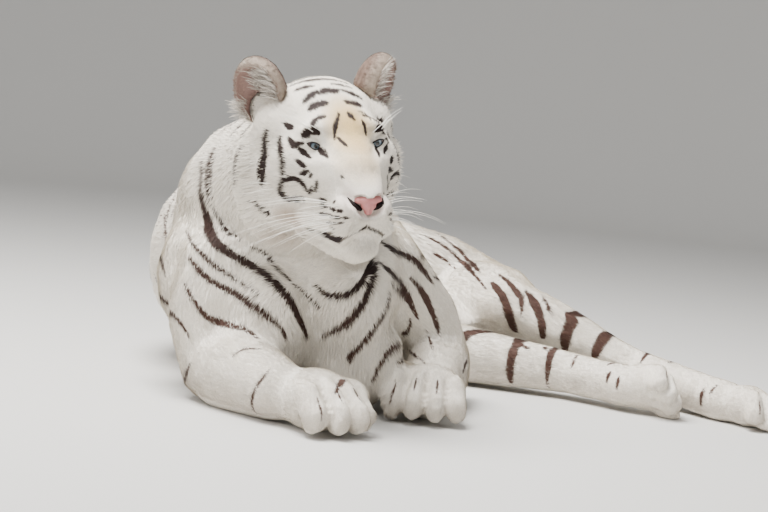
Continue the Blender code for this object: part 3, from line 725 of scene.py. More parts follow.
def curve_through(places, count):
    """Evenly many places on a smooth curve through the given ones."""
    rows = np.array(places, float)
    rows = np.vstack([2 * rows[0] - rows[1], rows, 2 * rows[-1] - rows[-2]])
    result = []
    for t in np.linspace(0, len(rows) - 3 - 1e-6, count):
        k, u = int(t), t - int(t)
        a, b, c, d = rows[k : k + 4]
        result.append((2 * b + (c - a) * u + (2 * a - 5 * b + 4 * c - d) * u**2
                       + (3 * b - a - 3 * c + d) * u**3) / 2)
    return np.array(result)


def meeting(start, way, past_head):
    """Where a ray first meets the skin from outside, or with past_head the skin behind the head."""
    start, way = Vector(start), Vector(way)
    for _ in range(8):
        hit, normal, _, _ = drawing_skin.ray_cast(start, way)
        if hit is None:
            return None
        if not past_head or (not on_face(hit) and normal.dot(way) < 0):
            return hit
        start = hit + way * 0.0005
    return None


def on_face(place):
    """Whether a place is on the head, ahead of the neck."""
    local = HEAD.inverted() @ place
    return local.y > 0 and local.z > -0.135 and (local - Vector((0, 0.03, -0.02))).length < 0.170


def laid(starts, ways, half_width, past_head=False, reach=9.0):
    """Adds a stripe where rays from the starts meet the skin within reach."""
    hits = [meeting(start, way, past_head) for start, way in zip(starts, ways)]
    hits = [h if h and (h - Vector(start)).length < reach else None for h, start in zip(hits, starts)]
    steps = [(a, b) for a, b in zip(hits[:-1], hits[1:]) if a and b and (a - b).length < MOST_STEP]
    whole = sum((a - b).length for a, b in steps)
    done = 0.0
    for a, b in steps:
        step = (a - b).length
        parts = max(1, math.ceil(step / max(0.0009, 0.4 * half_width)))
        for part in range(parts):
            t = (done + step * (part + 0.5) / parts) / whole
            wave = 1 + 0.13 * math.sin(11 * t + half_width * 4000) + 0.07 * math.sin(31 * t + whole * 90)
            ink_places.append(a.lerp(b, (part + 0.5) / parts))
            ink_widths.append(half_width * wave * math.sin(math.pi * (0.04 + 0.92 * t)) ** TAPER)
        done += step


def drawn(place, unit, elevation, stripe, flip=1, stray=0.0):
    """A stripe drawn on an elevation: 'front', 'top', 'right' or 'left'."""
    bold = BOLD_HEAD if place is HEAD else BOLD_BODY
    half_width, flat = bold * stripe[0] / 1000, curve_through(stripe[1:], SAMPLES) * unit
    flat = flat + chance.normal(0, 1, 2) * stray
    zero = np.zeros(len(flat))
    ahead = 1 if place is HEAD else -1
    if elevation == "front":
        starts, way = np.stack([flat[:, 0] * flip, zero + FAR * ahead, flat[:, 1]], 1), (0, -ahead, 0)
    elif elevation == "top":
        starts, way = np.stack([flat[:, 0] * flip, flat[:, 1], zero + FAR], 1), (0, 0, -1)
    else:
        side = 1 if elevation == "right" else -1
        starts, way = np.stack([zero + FAR * side, flat[:, 0], flat[:, 1]], 1), (-side, 0, 0)
    way = place.to_3x3() @ Vector(way)
    laid(out_of_frame(starts, place), [way] * len(starts), half_width, place is not HEAD)


def wound(line, station, start, end, half_width, slant=0.0, samples=SAMPLES):
    """A stripe round a line of growth."""
    rows = growth_line(line)
    thick = rows[int(min(station, len(rows) - 1)), 3]
    starts, ways = [], []
    for angle in np.linspace(start, end, samples):
        at = station + slant * (angle - start) / 90
        at = min(max(at, 0), len(rows) - 1.001)
        k = int(at)
        foot = rows[k, :3] + (rows[k + 1, :3] - rows[k, :3]) * (at - k)
        before = rows[max(k - 1, 0), :3] if at - k < 0.5 else rows[k, :3]
        after = rows[k + 1, :3] if at - k < 0.5 else rows[min(k + 2, len(rows) - 1), :3]
        way = (after - before) / np.linalg.norm(after - before)
        side = np.cross(way, (0, 0, 1.0))
        side /= np.linalg.norm(side)
        top = np.cross(side, way)
        turn = math.radians(angle)
        starts.append(foot)
        ways.append(top * math.cos(turn) + side * math.sin(turn))
    laid(starts, ways, half_width, reach=WOUND_REACH * thick)


MM, CM = 0.001, 0.01
BODY_PLACE = Matrix.Translation(BODY)
for stripe in FACE_FRONT:
    drawn(HEAD, MM, "front", stripe)
    drawn(HEAD, MM, "front", stripe, flip=-1, stray=0.0015)
for stripe in FACE_FRONT_ONCE:
    drawn(HEAD, MM, "front", stripe)
for stripe in FACE_SIDE:
    drawn(HEAD, MM, "right", stripe)
    drawn(HEAD, MM, "left", stripe, stray=0.0015)
for stripe in CROWN_TOP:
    drawn(HEAD, MM, "top", stripe)
for stripe in BODY_FRONT:
    drawn(BODY_PLACE, CM, "front", stripe)
for line, station, start, end, width, slant in BANDS:
    wound(line, station, start, end, BOLD_BODY * width / 1000, slant)
for paw in PAWS:
    place = Matrix.Translation(BODY + Vector(paw[0])) @ paw_axes(paw).transposed().to_4x4()
    full = paw[3] / MM
    for toe, bold in zip(TOES, CLAW_MARKS):
        turn = math.radians(TOE_FAN * toe)
        line = [(full * (TOE_APART * toe * math.cos(turn) + ahead * math.sin(turn)),
                 full * ahead * math.cos(turn)) for ahead in CLAW_MARK_AHEAD]
        if bold:
            drawn(place, MM, "top", (2.0 * bold, *line))
for k in range(FLANK_STRIPES):  # the flanks and the back, as the species has them
    station = 2.35 + 0.50 * k + chance.uniform(-0.07, 0.07)
    lean = chance.uniform(0.02, 0.12)
    thick = 1 + 0.35 * (k % 2)
    wound("back", station, -3, -chance.uniform(80, 112), thick * chance.uniform(0.0042, 0.0058), lean, 60)
    if k % 3:
        wound("back", station + 0.17, -chance.uniform(14, 40), -chance.uniform(70, 98), 0.0034, lean, 50)
    wound("back", station + 0.08, -chance.uniform(96, 112), -chance.uniform(128, 146), 0.0046, -lean)
    if station < 5.9:
        low_end = chance.uniform(72, 104)
        wound("back", station + 0.25, 4, low_end, thick * chance.uniform(0.0038, 0.0052), lean, 60)
        wound("back", station + 0.36, chance.uniform(30, 50), chance.uniform(84, 118), 0.0030, lean, 50)
for k in range(NAPE_STRIPES):
    wound("back", 0.55 + 0.45 * k, -12 + 4 * k, -58 + 6 * k, 0.0050, 0.10)
    wound("back", 0.70 + 0.45 * k, 10, 66 - 8 * k, 0.0050, 0.10)
for k in range(TAIL_RINGS):
    station = 0.30 + 0.66 * k + chance.uniform(-0.04, 0.04)
    wound("tail", station, -174, 174, 0.0105 + 0.0006 * k, 0.0, 60)
    if k > 1:
        wound("tail", station + 0.25, -70, chance.uniform(60, 150), 0.0035, 0.0, 40)
for line, sign in (("leg_left", 1), ("leg_right", 1), ("arm_left", -1)):
    for k in range(3):  # round the thighs and the back of the left arm
        wound(line, 0.25 + 0.27 * k, -60 * sign, -120 * sign, 0.0045, 0.06)

ink_tree = KDTree(len(ink_places))
for k, place in enumerate(ink_places):
    ink_tree.insert(place, k)
ink_tree.balance()


def ink_margin(places):
    """How far inside a stripe each place lies, in metres, or with a minus how far outside."""
    margin = np.full(len(places), -0.05)
    for k, place in enumerate(places.tolist()):
        for _, number, away in ink_tree.find_n(place, 7):
            margin[k] = max(margin[k], ink_widths[number] - away)
    return margin


ink = ink_margin(points)

# ------------------------------------------------------------------ skin: its colours
# Warm white hair on pink and grey skin: cream on the brow, brown behind the lips, grey-pink on the
# muzzle and chocolate in the stripes. Painted shade greys the underside near the floor, deepens the
# tan under the jaw and the dark line along the front of the mouth. The same functions colour the
# skin and each tuft.

WHITE, CREAM, TAN = (0.87, 0.815, 0.725), (0.60, 0.42, 0.18), (0.36, 0.235, 0.165)
# the dark of the mouth: the lips' own dark rim, and painted shade under the upper lip along its front
PINK_GREY, LIP_AND_SHADE = (0.62, 0.52, 0.49), (0.022, 0.014, 0.014)
# a grey beige: the muzzle's own grey, and the painted shade of the underside
GREY_BEIGE_AND_SHADE = (0.60, 0.53, 0.45)
INK_FACE, INK_BODY = (0.024, 0.014, 0.012), (0.078, 0.040, 0.030)
FACE_TINTS = (  # colour, strength, middle and reach in the head: behind the lips, under the jaw and muzzle
    (TAN, 0.75, (0.088, 0.070, -0.072), (0.034, 0.060, 0.026)),
    # the coat's own warm tan under the jaw, deepened as painted shade beneath the cheek ruff
    (TAN, 0.40, (0.070, 0.000, -0.125), (0.050, 0.080, 0.040)),
    (PINK_GREY, 0.5, (0.030, 0.175, -0.020), (0.03, 0.04, 0.03)),
)
LIP_WIDTH = 0.0085  # half width of the dark patch before the corner of the mouth


def mixed(colours, other, share):
    """Colours with a share of another in each."""
    return colours + (np.array(other) - colours) * share[:, None]


def coat_tone(places):
    """The coat's colour without its stripes, with painted shade on the underside and under the jaw."""
    local = in_head(places)
    colours = np.tile(np.array(WHITE), (len(places), 1))
    # painted shade: the coat greyer and darker low down near the floor, with some of its own beige
    colours = mixed(colours, GREY_BEIGE_AND_SHADE, 0.5 * (1 - ramp(places[:, 2], 0.005, 0.07)))
    brow = in_ball(local, (-0.004, 0.085, 0.078), (0.046, 0.070, 0.066)) ** 0.5
    bridge = in_ball(local, (0, 0.125, 0.035), (0.046, 0.080, 0.056)) ** 0.6
    colours = mixed(mixed(colours, CREAM, 0.95 * brow), CREAM, 0.60 * bridge)
    colours = mixed(colours, GREY_BEIGE_AND_SHADE, 0.50 * in_ball(local, (0.006, 0.160, 0.008), (0.036, 0.045, 0.032)))
    for side in (RIGHT, LEFT):
        for tint, strength, (x, y, z), reach in FACE_TINTS:
            colours = mixed(colours, tint, strength * in_ball(local, (side * x, y, z), reach))
    return colours


def lip_distance(places):
    """How far each place lies from the dark line of the mouth (lip rim and painted shade), widest before the
    corners.
    """
    away, along = mouth_distance(in_head(places))
    return np.maximum(away - LIP_WIDTH * np.exp(-((along - 0.56) / 0.13) ** 2), 0)


def lip_share(places):
    """1 on the dark line of the mouth, lip rim and painted shade under the upper lip, 0 beyond it."""
    return 1 - ramp(lip_distance(places), 0.0014, 0.0034)


def ink_colour(places):
    """Nearly black on the face, chocolate on the body and legs."""
    far = ramp(np.linalg.norm(in_head(places), axis=1), 0.16, 0.36)
    return np.array(INK_FACE) + (np.array(INK_BODY) - INK_FACE) * far[:, None]


# ------------------------------------------------------------------ skin: its ears
# Rounded cups of thin skin, joined to the hide so that they move and bake with it. The backs are
# dark with a pale spot, the hollows brownish pink, with painted shade darker deeper in.

EAR_AT, EAR_SIZE = (0.097, -0.042, 0.110), np.array((0.045, 0.035, 0.060))
EAR_LEAN, EAR_TURN = 16, 48
EAR_VOXEL, EAR_EASING = 0.0035, 16
HOLLOW_AT, HOLLOW_SHARE = (0, 0.024, -0.001), 0.88
# the hollow's pink, and the painted shade deeper in it
EAR_PINK, EAR_HOLLOW_SHADE = (0.32, 0.205, 0.175), (0.10, 0.055, 0.048)
EAR_RIM, EAR_DARK = (0.40, 0.33, 0.265), (0.17, 0.115, 0.090)


def ear_frame(side):
    """Axes of an ear: y out of its opening, z to its tip."""
    at = Matrix.Translation((side * EAR_AT[0], EAR_AT[1], EAR_AT[2]))
    lean = Matrix.Rotation(math.radians(side * EAR_LEAN), 4, "Y")
    return HEAD @ at @ lean @ Matrix.Rotation(math.radians(-side * EAR_TURN), 4, "Z")


def ear_parts(places):
    """For each place of an ear, the shares of hollow, depth in it for its painted shade, rim and pale spot,
    and its height.
    """
    hollow, deep, rim, spot = (np.zeros(len(places)) for _ in range(4))
    height = np.full(len(places), -1.0)
    for side in (RIGHT, LEFT):
        local = in_frame(places, ear_frame(side))
        mine = np.linalg.norm(local, axis=1) < 0.075
        out = np.sqrt(((local - HOLLOW_AT) ** 2 / (EAR_SIZE * HOLLOW_SHARE) ** 2).sum(axis=1))
        hull = np.sqrt((local ** 2 / EAR_SIZE ** 2).sum(axis=1))
        inside = (1 - ramp(out, 1.04, 1.12)) * (1 - ramp(hull, 0.90, 0.99))
        edge = (1 - ramp(np.abs(out - 1.03), 0.20, 0.55)) * ramp(hull, 0.80, 0.93)
        hollow = np.where(mine, inside, hollow)
        # how deep a place lies in the hollow: the share of its painted shade
        deep = np.where(mine, ramp(-local[:, 1], -0.012, 0.020) * inside, deep)
        rim = np.where(mine, edge, rim)
        spot = np.where(mine, in_ball(local, (0, -0.033, 0.012), (0.021, 0.020, 0.026)) ** 0.5, spot)
        height = np.where(mine, local[:, 2] / EAR_SIZE[2], height)
    return hollow, deep, rim, spot, height


def ear_tone(places, colours):
    """The coat's colours with the ears' own laid over them."""
    hollow, deep, rim, spot, height = ear_parts(places)
    on = ramp(height, -0.75, -0.25)
    back = mixed(np.tile(np.array(EAR_DARK), (len(places), 1)), WHITE, 0.9 * spot)
    back = mixed(back, EAR_RIM, 0.85 * rim)
    colours = colours + (back - colours) * (on * (1 - hollow))[:, None]
    # painted shade: the hollow's pink darker deeper in
    inner = mixed(np.tile(np.array(EAR_PINK), (len(places), 1)), EAR_HOLLOW_SHADE, 0.85 * deep)
    return colours + (inner - colours) * (hollow * (height > -1))[:, None]


ears = melted(let_out(EARS, 0.0), EAR_VOXEL)
set_points(ears, eased(mesh_points(ears), mesh_edges(ears), EAR_EASING, np.ones(len(ears.vertices))))
EARS_FROM = len(hide.vertices)
whole_skin = bmesh.new()
whole_skin.from_mesh(hide)
whole_skin.from_mesh(ears)
whole_skin.to_mesh(hide)
whole_skin.free()
points, ends = mesh_points(hide), mesh_edges(hide)
on_ears = np.arange(len(points)) >= EARS_FROM
ink = np.concatenate([ink, np.full(len(points) - EARS_FROM, -0.05)])

# ------------------------------------------------------------------ skin: drawn in and finished
# The hide is drawn in under the depth of its coat and coloured. It has a bump of short combed hair,
# and it takes the place of all the flesh.

HIDE_COLOUR, STRIPE_COLOUR, STRIPE_MARGIN = "hide_colour", "stripe_colour", "stripe_margin"
FLOOR_GAP = 0.0008  # under the resting skin and hair
DEPTH_SHARE, LENGTH_SHARE, LEAST_LENGTH = 0.72, 0.60, 0.0015  # the body's coat, from its lines
COMBING = 45  # passes that ease the way of the hair
FACE_HAIR = (  # places of the head: middle, reach, depth of coat, length of hair; doubled off the middle
    ((0, 0.020, 0.060), (0.130, 0.150, 0.110), 0.0032, 0.0100),
    ((0, 0.100, 0.020), (0.100, 0.075, 0.085), 0.0018, 0.0064),
    ((0, 0.160, -0.030), (0.065, 0.060, 0.050), 0.0011, 0.0042),
    ((0, 0.085, 0.035), (0.085, 0.040, 0.035), 0.0011, 0.0046),
    ((0, 0.150, -0.110), (0.040, 0.045, 0.035), 0.0030, 0.0130),
    ((0, 0.060, -0.125), (0.085, 0.080, 0.045), 0.0070, 0.0240),
    ((0.105, -0.010, -0.045), (0.045, 0.060, 0.090), 0.0085, 0.0270),
    ((0.072, 0.000, 0.078), (0.034, 0.045, 0.036), 0.0050, 0.0200),
    ((0.080, 0.060, -0.060), (0.040, 0.045, 0.045), 0.0040, 0.0140),
)
HEAD_BACK, HEAD_FRONT = -0.085, -0.020  # between them the neck's hair turns into the head's
NOSE_TIP = (0, 0.205, -0.030)


def coat_of(places):
    """The way, depth and length of the hair at each place."""
    way, depth, length, nearest = blended(places)
    depth, length = DEPTH_SHARE * depth, LEAST_LENGTH + LENGTH_SHARE * length
    front = ramp(BODY[1] - places[:, 1], 0.34, 0.42) * ramp(places[:, 2], 0.12, 0.18)
    way = way - 0.9 * front[:, None] * (0, 0, 1)  # down the chest
    local = in_head(places)
    near = np.linalg.norm(local - (0, 0.02, -0.01), axis=1)
    share = ramp(local[:, 1], HEAD_BACK, HEAD_FRONT) * (1 - ramp(near, 0.19, 0.24))
    head_depth, head_length = np.full(len(places), 0.0060), np.full(len(places), 0.0180)
    for (x, y, z), reach, deep, long in FACE_HAIR:
        for side in (RIGHT, LEFT) if x else (RIGHT,):
            inside = np.clip(2.2 * in_ball(local, (side * x, y, z), reach), 0, 1)
            head_depth += (deep - head_depth) * inside
            head_length += (long - head_length) * inside
    away = local - np.array(NOSE_TIP)
    away = away / np.maximum(np.linalg.norm(away, axis=1), 1e-4)[:, None]
    away[:, 2] -= 0.35 * ramp(np.abs(local[:, 0]), 0.05, 0.11)
    away = away @ np.array(HEAD.to_3x3()).T
    unit = way / np.maximum(np.linalg.norm(way, axis=1), 1e-6)[:, None]
    way = unit + (away - unit) * share[:, None]
    depth = depth + (head_depth - depth) * share
    length = length + (head_length - length) * share
    lips = np.clip(1 - (lip_distance(places) - 0.003) / 0.008, 0, 1)
    depth, length = depth * (1 - 0.7 * lips), length * (1 - 0.5 * lips)
    return way, depth, length, np.where(share > 0.5, len(GROWTH), nearest)


way, depth, length, line_number = coat_of(points)
for side in (RIGHT, LEFT):
    place = ear_frame(side)
    local = in_frame(points, place)
    own = on_ears & (np.linalg.norm(local, axis=1) < 0.08)
    fan = np.stack([local[:, 0] * 0.9, np.full(len(local), 0.1), 0.035 + 0 * local[:, 2]], 1)
    fan = fan / np.linalg.norm(fan, axis=1)[:, None] @ np.array(place.to_3x3()).T
    way[own] = fan[own]
depth[on_ears], length[on_ears], line_number[on_ears] = 0.0010, 0.0085, len(GROWTH) + 1
normals = mesh_points(hide, "normal")
pressed = (1 - ramp(points[:, 2], 0.004, 0.030)) * (normals[:, 2] < 0.2)  # by the animal's weight
inward = np.where(on_ears, 0, depth) * (1 - 0.9 * pressed)
drawn_in = points - normals * inward[:, None]
for side in (RIGHT, LEFT):
    drawn_in = over_eye(drawn_in, side, 0.0016)
drawn_in[:, 2] = np.maximum(drawn_in[:, 2], FLOOR_GAP)
set_points(hide, drawn_in)
normals = mesh_points(hide, "normal")


def along_skin(way):
    """Ways laid flat on the skin, one long."""
    way = way - normals * (way * normals).sum(axis=1)[:, None]
    return way / np.maximum(np.linalg.norm(way, axis=1), 1e-6)[:, None]


way = along_skin(way)
for _ in range(COMBING):
    way = 0.5 * way + 0.5 * neighbours_mean(way, ends, len(way))
way = along_skin(way)


def add_colour(mesh, name, colours):
    """Gives each point of a mesh a colour of its own."""
    layer = mesh.attributes.new(name, "FLOAT_COLOR", "POINT")
    whole = np.hstack([colours, np.ones((len(colours), 1))])
    layer.data.foreach_set("color", whole.astype(np.float32).ravel())


tone = mixed(coat_tone(points), LIP_AND_SHADE, lip_share(points))
tone[on_ears] = ear_tone(points[on_ears], tone[on_ears])
add_colour(hide, HIDE_COLOUR, tone)
add_colour(hide, STRIPE_COLOUR, ink_colour(points))
hide.attributes.new(STRIPE_MARGIN, "FLOAT", "POINT").data.foreach_set("value", ink.astype(np.float32))


def fine_hair_group():
    """Fine combed streaks: a little light and dark, and a height for the bump."""
    group = bpy.data.node_groups.new("fine_hair", "ShaderNodeTree")
    group.interface.new_socket("Fineness", in_out="INPUT", socket_type="NodeSocketFloat")
    group.interface.new_socket("Streaks", in_out="OUTPUT", socket_type="NodeSocketFloat")
    group.interface.new_socket("Height", in_out="OUTPUT", socket_type="NodeSocketFloat")
    nodes, links = group.nodes, group.links
    into, out = nodes.new("NodeGroupInput"), nodes.new("NodeGroupOutput")
    place = nodes.new("ShaderNodeTexCoord")
    comb = nodes.new("ShaderNodeMapping")
    comb.inputs["Scale"].default_value = (1.0, 0.32, 0.8)
    noise = nodes.new("ShaderNodeTexNoise")
    noise.inputs["Detail"].default_value = 4
    noise.inputs["Roughness"].default_value = 0.7
    noise.inputs["Distortion"].default_value = 0.6
    spread = nodes.new("ShaderNodeMapRange")
    spread.inputs["From Min"].default_value, spread.inputs["From Max"].default_value = 0.3, 0.7
    spread.inputs["To Min"].default_value, spread.inputs["To Max"].default_value = 0.80, 1.10
    links.new(place.outputs["Object"], comb.inputs["Vector"])
    links.new(comb.outputs["Vector"], noise.inputs["Vector"])
    links.new(into.outputs["Fineness"], noise.inputs["Scale"])
    links.new(noise.outputs["Fac"], spread.inputs["Value"])
    links.new(spread.outputs["Result"], out.inputs["Streaks"])
    links.new(noise.outputs["Fac"], out.inputs["Height"])
    return group


fine_hair = fine_hair_group()


def attribute(nodes, name):
    node = nodes.new("ShaderNodeAttribute")
    node.attribute_name = name
    return node


def times(nodes, links, colour, factor):
    """A colour made lighter or darker by a number."""
    node = nodes.new("ShaderNodeVectorMath")
    node.operation = "SCALE"
    links.new(colour, node.inputs["Vector"])
    links.new(factor, node.inputs["Scale"])
    return node.outputs["Vector"]


def skin_material():
    """Hide and short hair: the coat's colour, its stripes with ragged edges, and fine streaks."""
    material = bpy.data.materials.new("hide")
    material.use_nodes = True
    nodes, links = material.node_tree.nodes, material.node_tree.links
    surface = nodes["Principled BSDF"]
    surface.inputs["Roughness"].default_value = 0.75
    surface.inputs["Specular IOR Level"].default_value = 0.25
    hair = nodes.new("ShaderNodeGroup")
    hair.node_tree = fine_hair
    hair.inputs["Fineness"].default_value = 420
    ragged = nodes.new("ShaderNodeMath")
    ragged.operation = "MULTIPLY_ADD"
    ragged.inputs[1].default_value = 0.006
    ragged.inputs[2].default_value = -0.003
    links.new(hair.outputs["Height"], ragged.inputs[0])
    margin = nodes.new("ShaderNodeMath")
    margin.operation = "ADD"
    links.new(attribute(nodes, STRIPE_MARGIN).outputs["Fac"], margin.inputs[0])
    links.new(ragged.outputs[0], margin.inputs[1])
    edge = nodes.new("ShaderNodeMapRange")
    edge.inputs["From Min"].default_value, edge.inputs["From Max"].default_value = -0.0008, 0.0008
    links.new(margin.outputs[0], edge.inputs["Value"])
    stripes = nodes.new("ShaderNodeMix")
    stripes.data_type = "RGBA"
    links.new(edge.outputs["Result"], stripes.inputs["Factor"])
    links.new(attribute(nodes, HIDE_COLOUR).outputs["Color"], stripes.inputs["A"])
    links.new(attribute(nodes, STRIPE_COLOUR).outputs["Color"], stripes.inputs["B"])
    shaded = times(nodes, links, stripes.outputs["Result"], hair.outputs["Streaks"])
    links.new(shaded, surface.inputs["Base Color"])
    bump = nodes.new("ShaderNodeBump")
    bump.inputs["Strength"].default_value = 0.5
    bump.inputs["Distance"].default_value = 0.002
    links.new(hair.outputs["Height"], bump.inputs["Height"])
    links.new(bump.outputs["Normal"], surface.inputs["Normal"])
    return material


hide.name = "skin"
hide.shade_smooth()
hide.materials.clear()
hide.materials.append(skin_material())
skin = bpy.data.objects.new("skin", hide)
bpy.context.scene.collection.objects.link(skin)
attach(skin, "root")
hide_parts(*FLESH)

# ------------------------------------------------------------------ coat
# The hair, in thousands of pointed tufts that overlap like thatch. Each is a closed sliver rooted
# in the skin that lies along the growth of the coat, and takes its colour from where it lies.

hide.calc_loop_triangles()
corners = np.empty(len(hide.loop_triangles) * 3, np.int32)
hide.loop_triangles.foreach_get("vertices", corners)
corners = corners.reshape(-1, 3)
COVER = 3.0  # how many tufts deep the coat is
PATCH = 0.003  # width of a tuft's patch on the bake's map
BAKE_MAP = "OFBake"
KEEL = 0.38  # how far a tuft's middle stands over its edges, for its half width
ROOTED = 0.0006  # how deep a tuft's root is in the skin
WIDE, WIDE_BASE = 0.070, 0.0003  # a tuft's width for its length, and the least


def in_eye(places):
    """1 in the opening between the lids."""
    inside = np.zeros(len(places))
    for side in (RIGHT, LEFT):
        local = in_frame(places, eye_frame(side))
        height = by_opening(local)[0] + 0.0012
        open_here = (np.abs(local[:, 1]) < height) & (np.abs(local[:, 0]) < EYE_ACROSS + 0.001)
        inside[open_here & (local[:, 2] > 0) & (local[:, 2] < 0.03)] = 1
    return inside


def bare(places, outward):
    """Where no tuft grows: eyes, nose leather, inside the lips, and under the animal's weight."""
    local = in_head(places)
    lower_edge = -0.044 + 0.45 * np.maximum(np.abs(local[:, 0]) - 0.007, 0)
    leather = (np.abs(local[:, 0]) < 0.0225) & (local[:, 1] > 0.165)
    leather &= (local[:, 2] < -0.0160) & (local[:, 2] > lower_edge)
    leather |= (nostril_distance(local) < 0.0040) & (local[:, 1] > 0.150)
    resting = (places[:, 2] < 0.012) & (outward[:, 2] < -0.35)
    return (in_eye(places) > 0) | leather | resting | (lip_share(places) > 0.8)


def unwrapped(triangles):
    """A flat map of part of the skin, for each corner of its triangles."""
    used, index = np.unique(triangles, return_inverse=True)
    mesh = bpy.data.meshes.new("unwrapping")
    mesh.from_pydata(drawn_in[used].tolist(), [], index.reshape(-1, 3).tolist())
    obj = bpy.data.objects.new("unwrapping", mesh)
    bpy.context.scene.collection.objects.link(obj)
    bpy.ops.object.select_all(action="DESELECT")
    bpy.context.view_layer.objects.active = obj
    obj.select_set(True)
    bpy.ops.object.mode_set(mode="EDIT")
    bpy.ops.mesh.select_all(action="SELECT")
    bpy.ops.uv.smart_project(angle_limit=math.radians(72), island_margin=0.006)
    bpy.ops.object.mode_set(mode="OBJECT")
    flat = np.empty(len(mesh.loops) * 2, np.float32)
    mesh.uv_layers.active.data.foreach_get("uv", flat)
    bpy.data.objects.remove(obj)
    bpy.data.meshes.remove(mesh)
    return flat.reshape(-1, 3, 2)


def sliver_faces(rings):
    """Triangles of one tuft: a root, rings of three and a tip. Without rings it has two edges."""
    if not rings:
        return np.array([(0, 2, 1), (3, 1, 2), (0, 1, 3), (0, 3, 2)])
    root, tip = 0, 1 + 3 * rings
    a, b, k = 1, 2, 3
    faces = [(root, b, k), (root, k, a), (root, a, b)]
    for ring in range(rings - 1):
        a0, b0, k0 = a + 3 * ring, b + 3 * ring, k + 3 * ring
        a1, b1, k1 = a0 + 3, b0 + 3, k0 + 3
        faces += [(b0, b1, k1), (b0, k1, k0), (k0, k1, a1), (k0, a1, a0), (a0, a1, b1), (a0, b1, b0)]
    a, b, k = tip - 3, tip - 2, tip - 1
    return np.array(faces + [(tip, k, b), (tip, a, k), (tip, b, a)])


def slivers(name, at, out, run, long, wide, lift, colours, flat, rings=0, droop=0.0):
    """A mesh of closed tufts, the plainest of four faces. Each has a root, an outward and a running
    direction, a length, a width, a height that its tip reaches, the colours of its middle and of its
    tip, and a place on the bake's map."""
    side = np.cross(out, run)
    stations = [(0.0, 0.0)]
    for ring in range(max(rings, 1)):
        t = (ring + 0.85) / (max(rings, 1) + 0.85)
        full = math.sin(math.pi * min(0.5, 0.30 + 0.5 * t)) * (1 - 0.55 * t * t)
        stations.append((t, full))
    verts, shaded_colours, across, soft = [], [], [], []
    root = at - out * ROOTED
    for t, full in [*stations, (1.0, 0.0)]:
        rise = lift * math.sin(math.pi / 2 * t)
        place = root + run * (long * t)[:, None] + out * rise[:, None]
        place[:, 2] -= droop * long * t * t
        painted_shade = 0.88 + 0.16 * min(1.0, t * 1.5)  # painted shade: darker at the root, where the coat over it shades it, lighter to the tip
        colour = colours[1] if t == 1 else colours[0]
        if full == 0:
            verts.append(place)
            shaded_colours.append(colour * painted_shade)
            across.append((0.5, t))
            soft.append(out + run * (0.2 if t else -0.1))
            continue
        half = wide * full / 2
        for s, up in ((1, 0), (-1, 0), (0, 1))[: 3 if rings else 2]:
            verts.append(place + side * (half * s)[:, None] + out * (half * KEEL * up)[:, None])
            # painted shade: the edges of a tuft a little darker than its middle
            shaded_colours.append(colour * (painted_shade * (1.0 if up else 0.94)))
            across.append((0.5 + 0.5 * s, t))
            soft.append(out + side * (0.26 * s) + run * 0.06)
    each = len(verts)
    verts = np.stack(verts, 1).reshape(-1, 3)
    verts[:, 2] = np.maximum(verts[:, 2], FLOOR_GAP)
    faces = (sliver_faces(rings)[None] + (np.arange(len(at)) * each)[:, None, None]).reshape(-1, 3)
    mesh = bpy.data.meshes.new(name)
    mesh.vertices.add(len(verts))
    mesh.vertices.foreach_set("co", verts.astype(np.float32).ravel())
    mesh.loops.add(len(faces) * 3)
    mesh.loops.foreach_set("vertex_index", faces.astype(np.int32).ravel())
    mesh.polygons.add(len(faces))
    mesh.polygons.foreach_set("loop_start", np.arange(0, len(faces) * 3, 3, dtype=np.int32))
    mesh.update()
    add_colour(mesh, "hair_colour_and_shade", np.clip(np.stack(shaded_colours, 1).reshape(-1, 3), 0, 1))
    patch = (flat[:, None] + (np.array(across)[None] - 0.5) * PATCH).reshape(-1, 2)
    layer = mesh.uv_layers.new(name=BAKE_MAP)
    layer.data.foreach_set("uv", patch[faces.ravel()].astype(np.float32).ravel())
    mesh.shade_smooth()
    if not rings:  # shaded with the skin round it, and the other way underneath
        soft = np.stack(soft, 1)
        under = soft - 2 * (soft * out[:, None]).sum(axis=2)[:, :, None] * out[:, None]
        top_faces, under_faces = sliver_faces(0)[:2].ravel(), sliver_faces(0)[2:].ravel()
        corner_normals = np.concatenate([soft[:, top_faces], under[:, under_faces]], 1).reshape(-1, 3)
        corner_normals /= np.linalg.norm(corner_normals, axis=1)[:, None]
        mesh.normals_split_custom_set(corner_normals.tolist())
    mesh.validate()
    return mesh


def coat_material():
    """Hair: the tuft's own colour with its painted shade, fine streaks, and a soft sheen."""
    material = bpy.data.materials.new("hair")
    material.use_nodes = True
    nodes, links = material.node_tree.nodes, material.node_tree.links
    surface = nodes["Principled BSDF"]
    surface.inputs["Roughness"].default_value = 0.62
    surface.inputs["Specular IOR Level"].default_value = 0.12
    surface.inputs["Sheen Weight"].default_value = 0.03
    surface.inputs["Sheen Roughness"].default_value = 0.5
    hair = nodes.new("ShaderNodeGroup")
    hair.node_tree = fine_hair
    hair.inputs["Fineness"].default_value = 900
    shaded = times(nodes, links, attribute(nodes, "hair_colour_and_shade").outputs["Color"], hair.outputs["Streaks"])
    links.new(shaded, surface.inputs["Base Color"])
    bump = nodes.new("ShaderNodeBump")
    bump.inputs["Strength"].default_value = 0.25
    bump.inputs["Distance"].default_value = 0.0008
    links.new(hair.outputs["Height"], bump.inputs["Height"])
    links.new(bump.outputs["Normal"], surface.inputs["Normal"])
    return material


hair_material = coat_material()


def finish_piece(name, mesh, material):
    """The mesh as a piece of the animal, in its material."""
    mesh.materials.append(material)
    piece = bpy.data.objects.new(name, mesh)
    bpy.context.scene.collection.objects.link(piece)
    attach(piece, "root")
    return piece


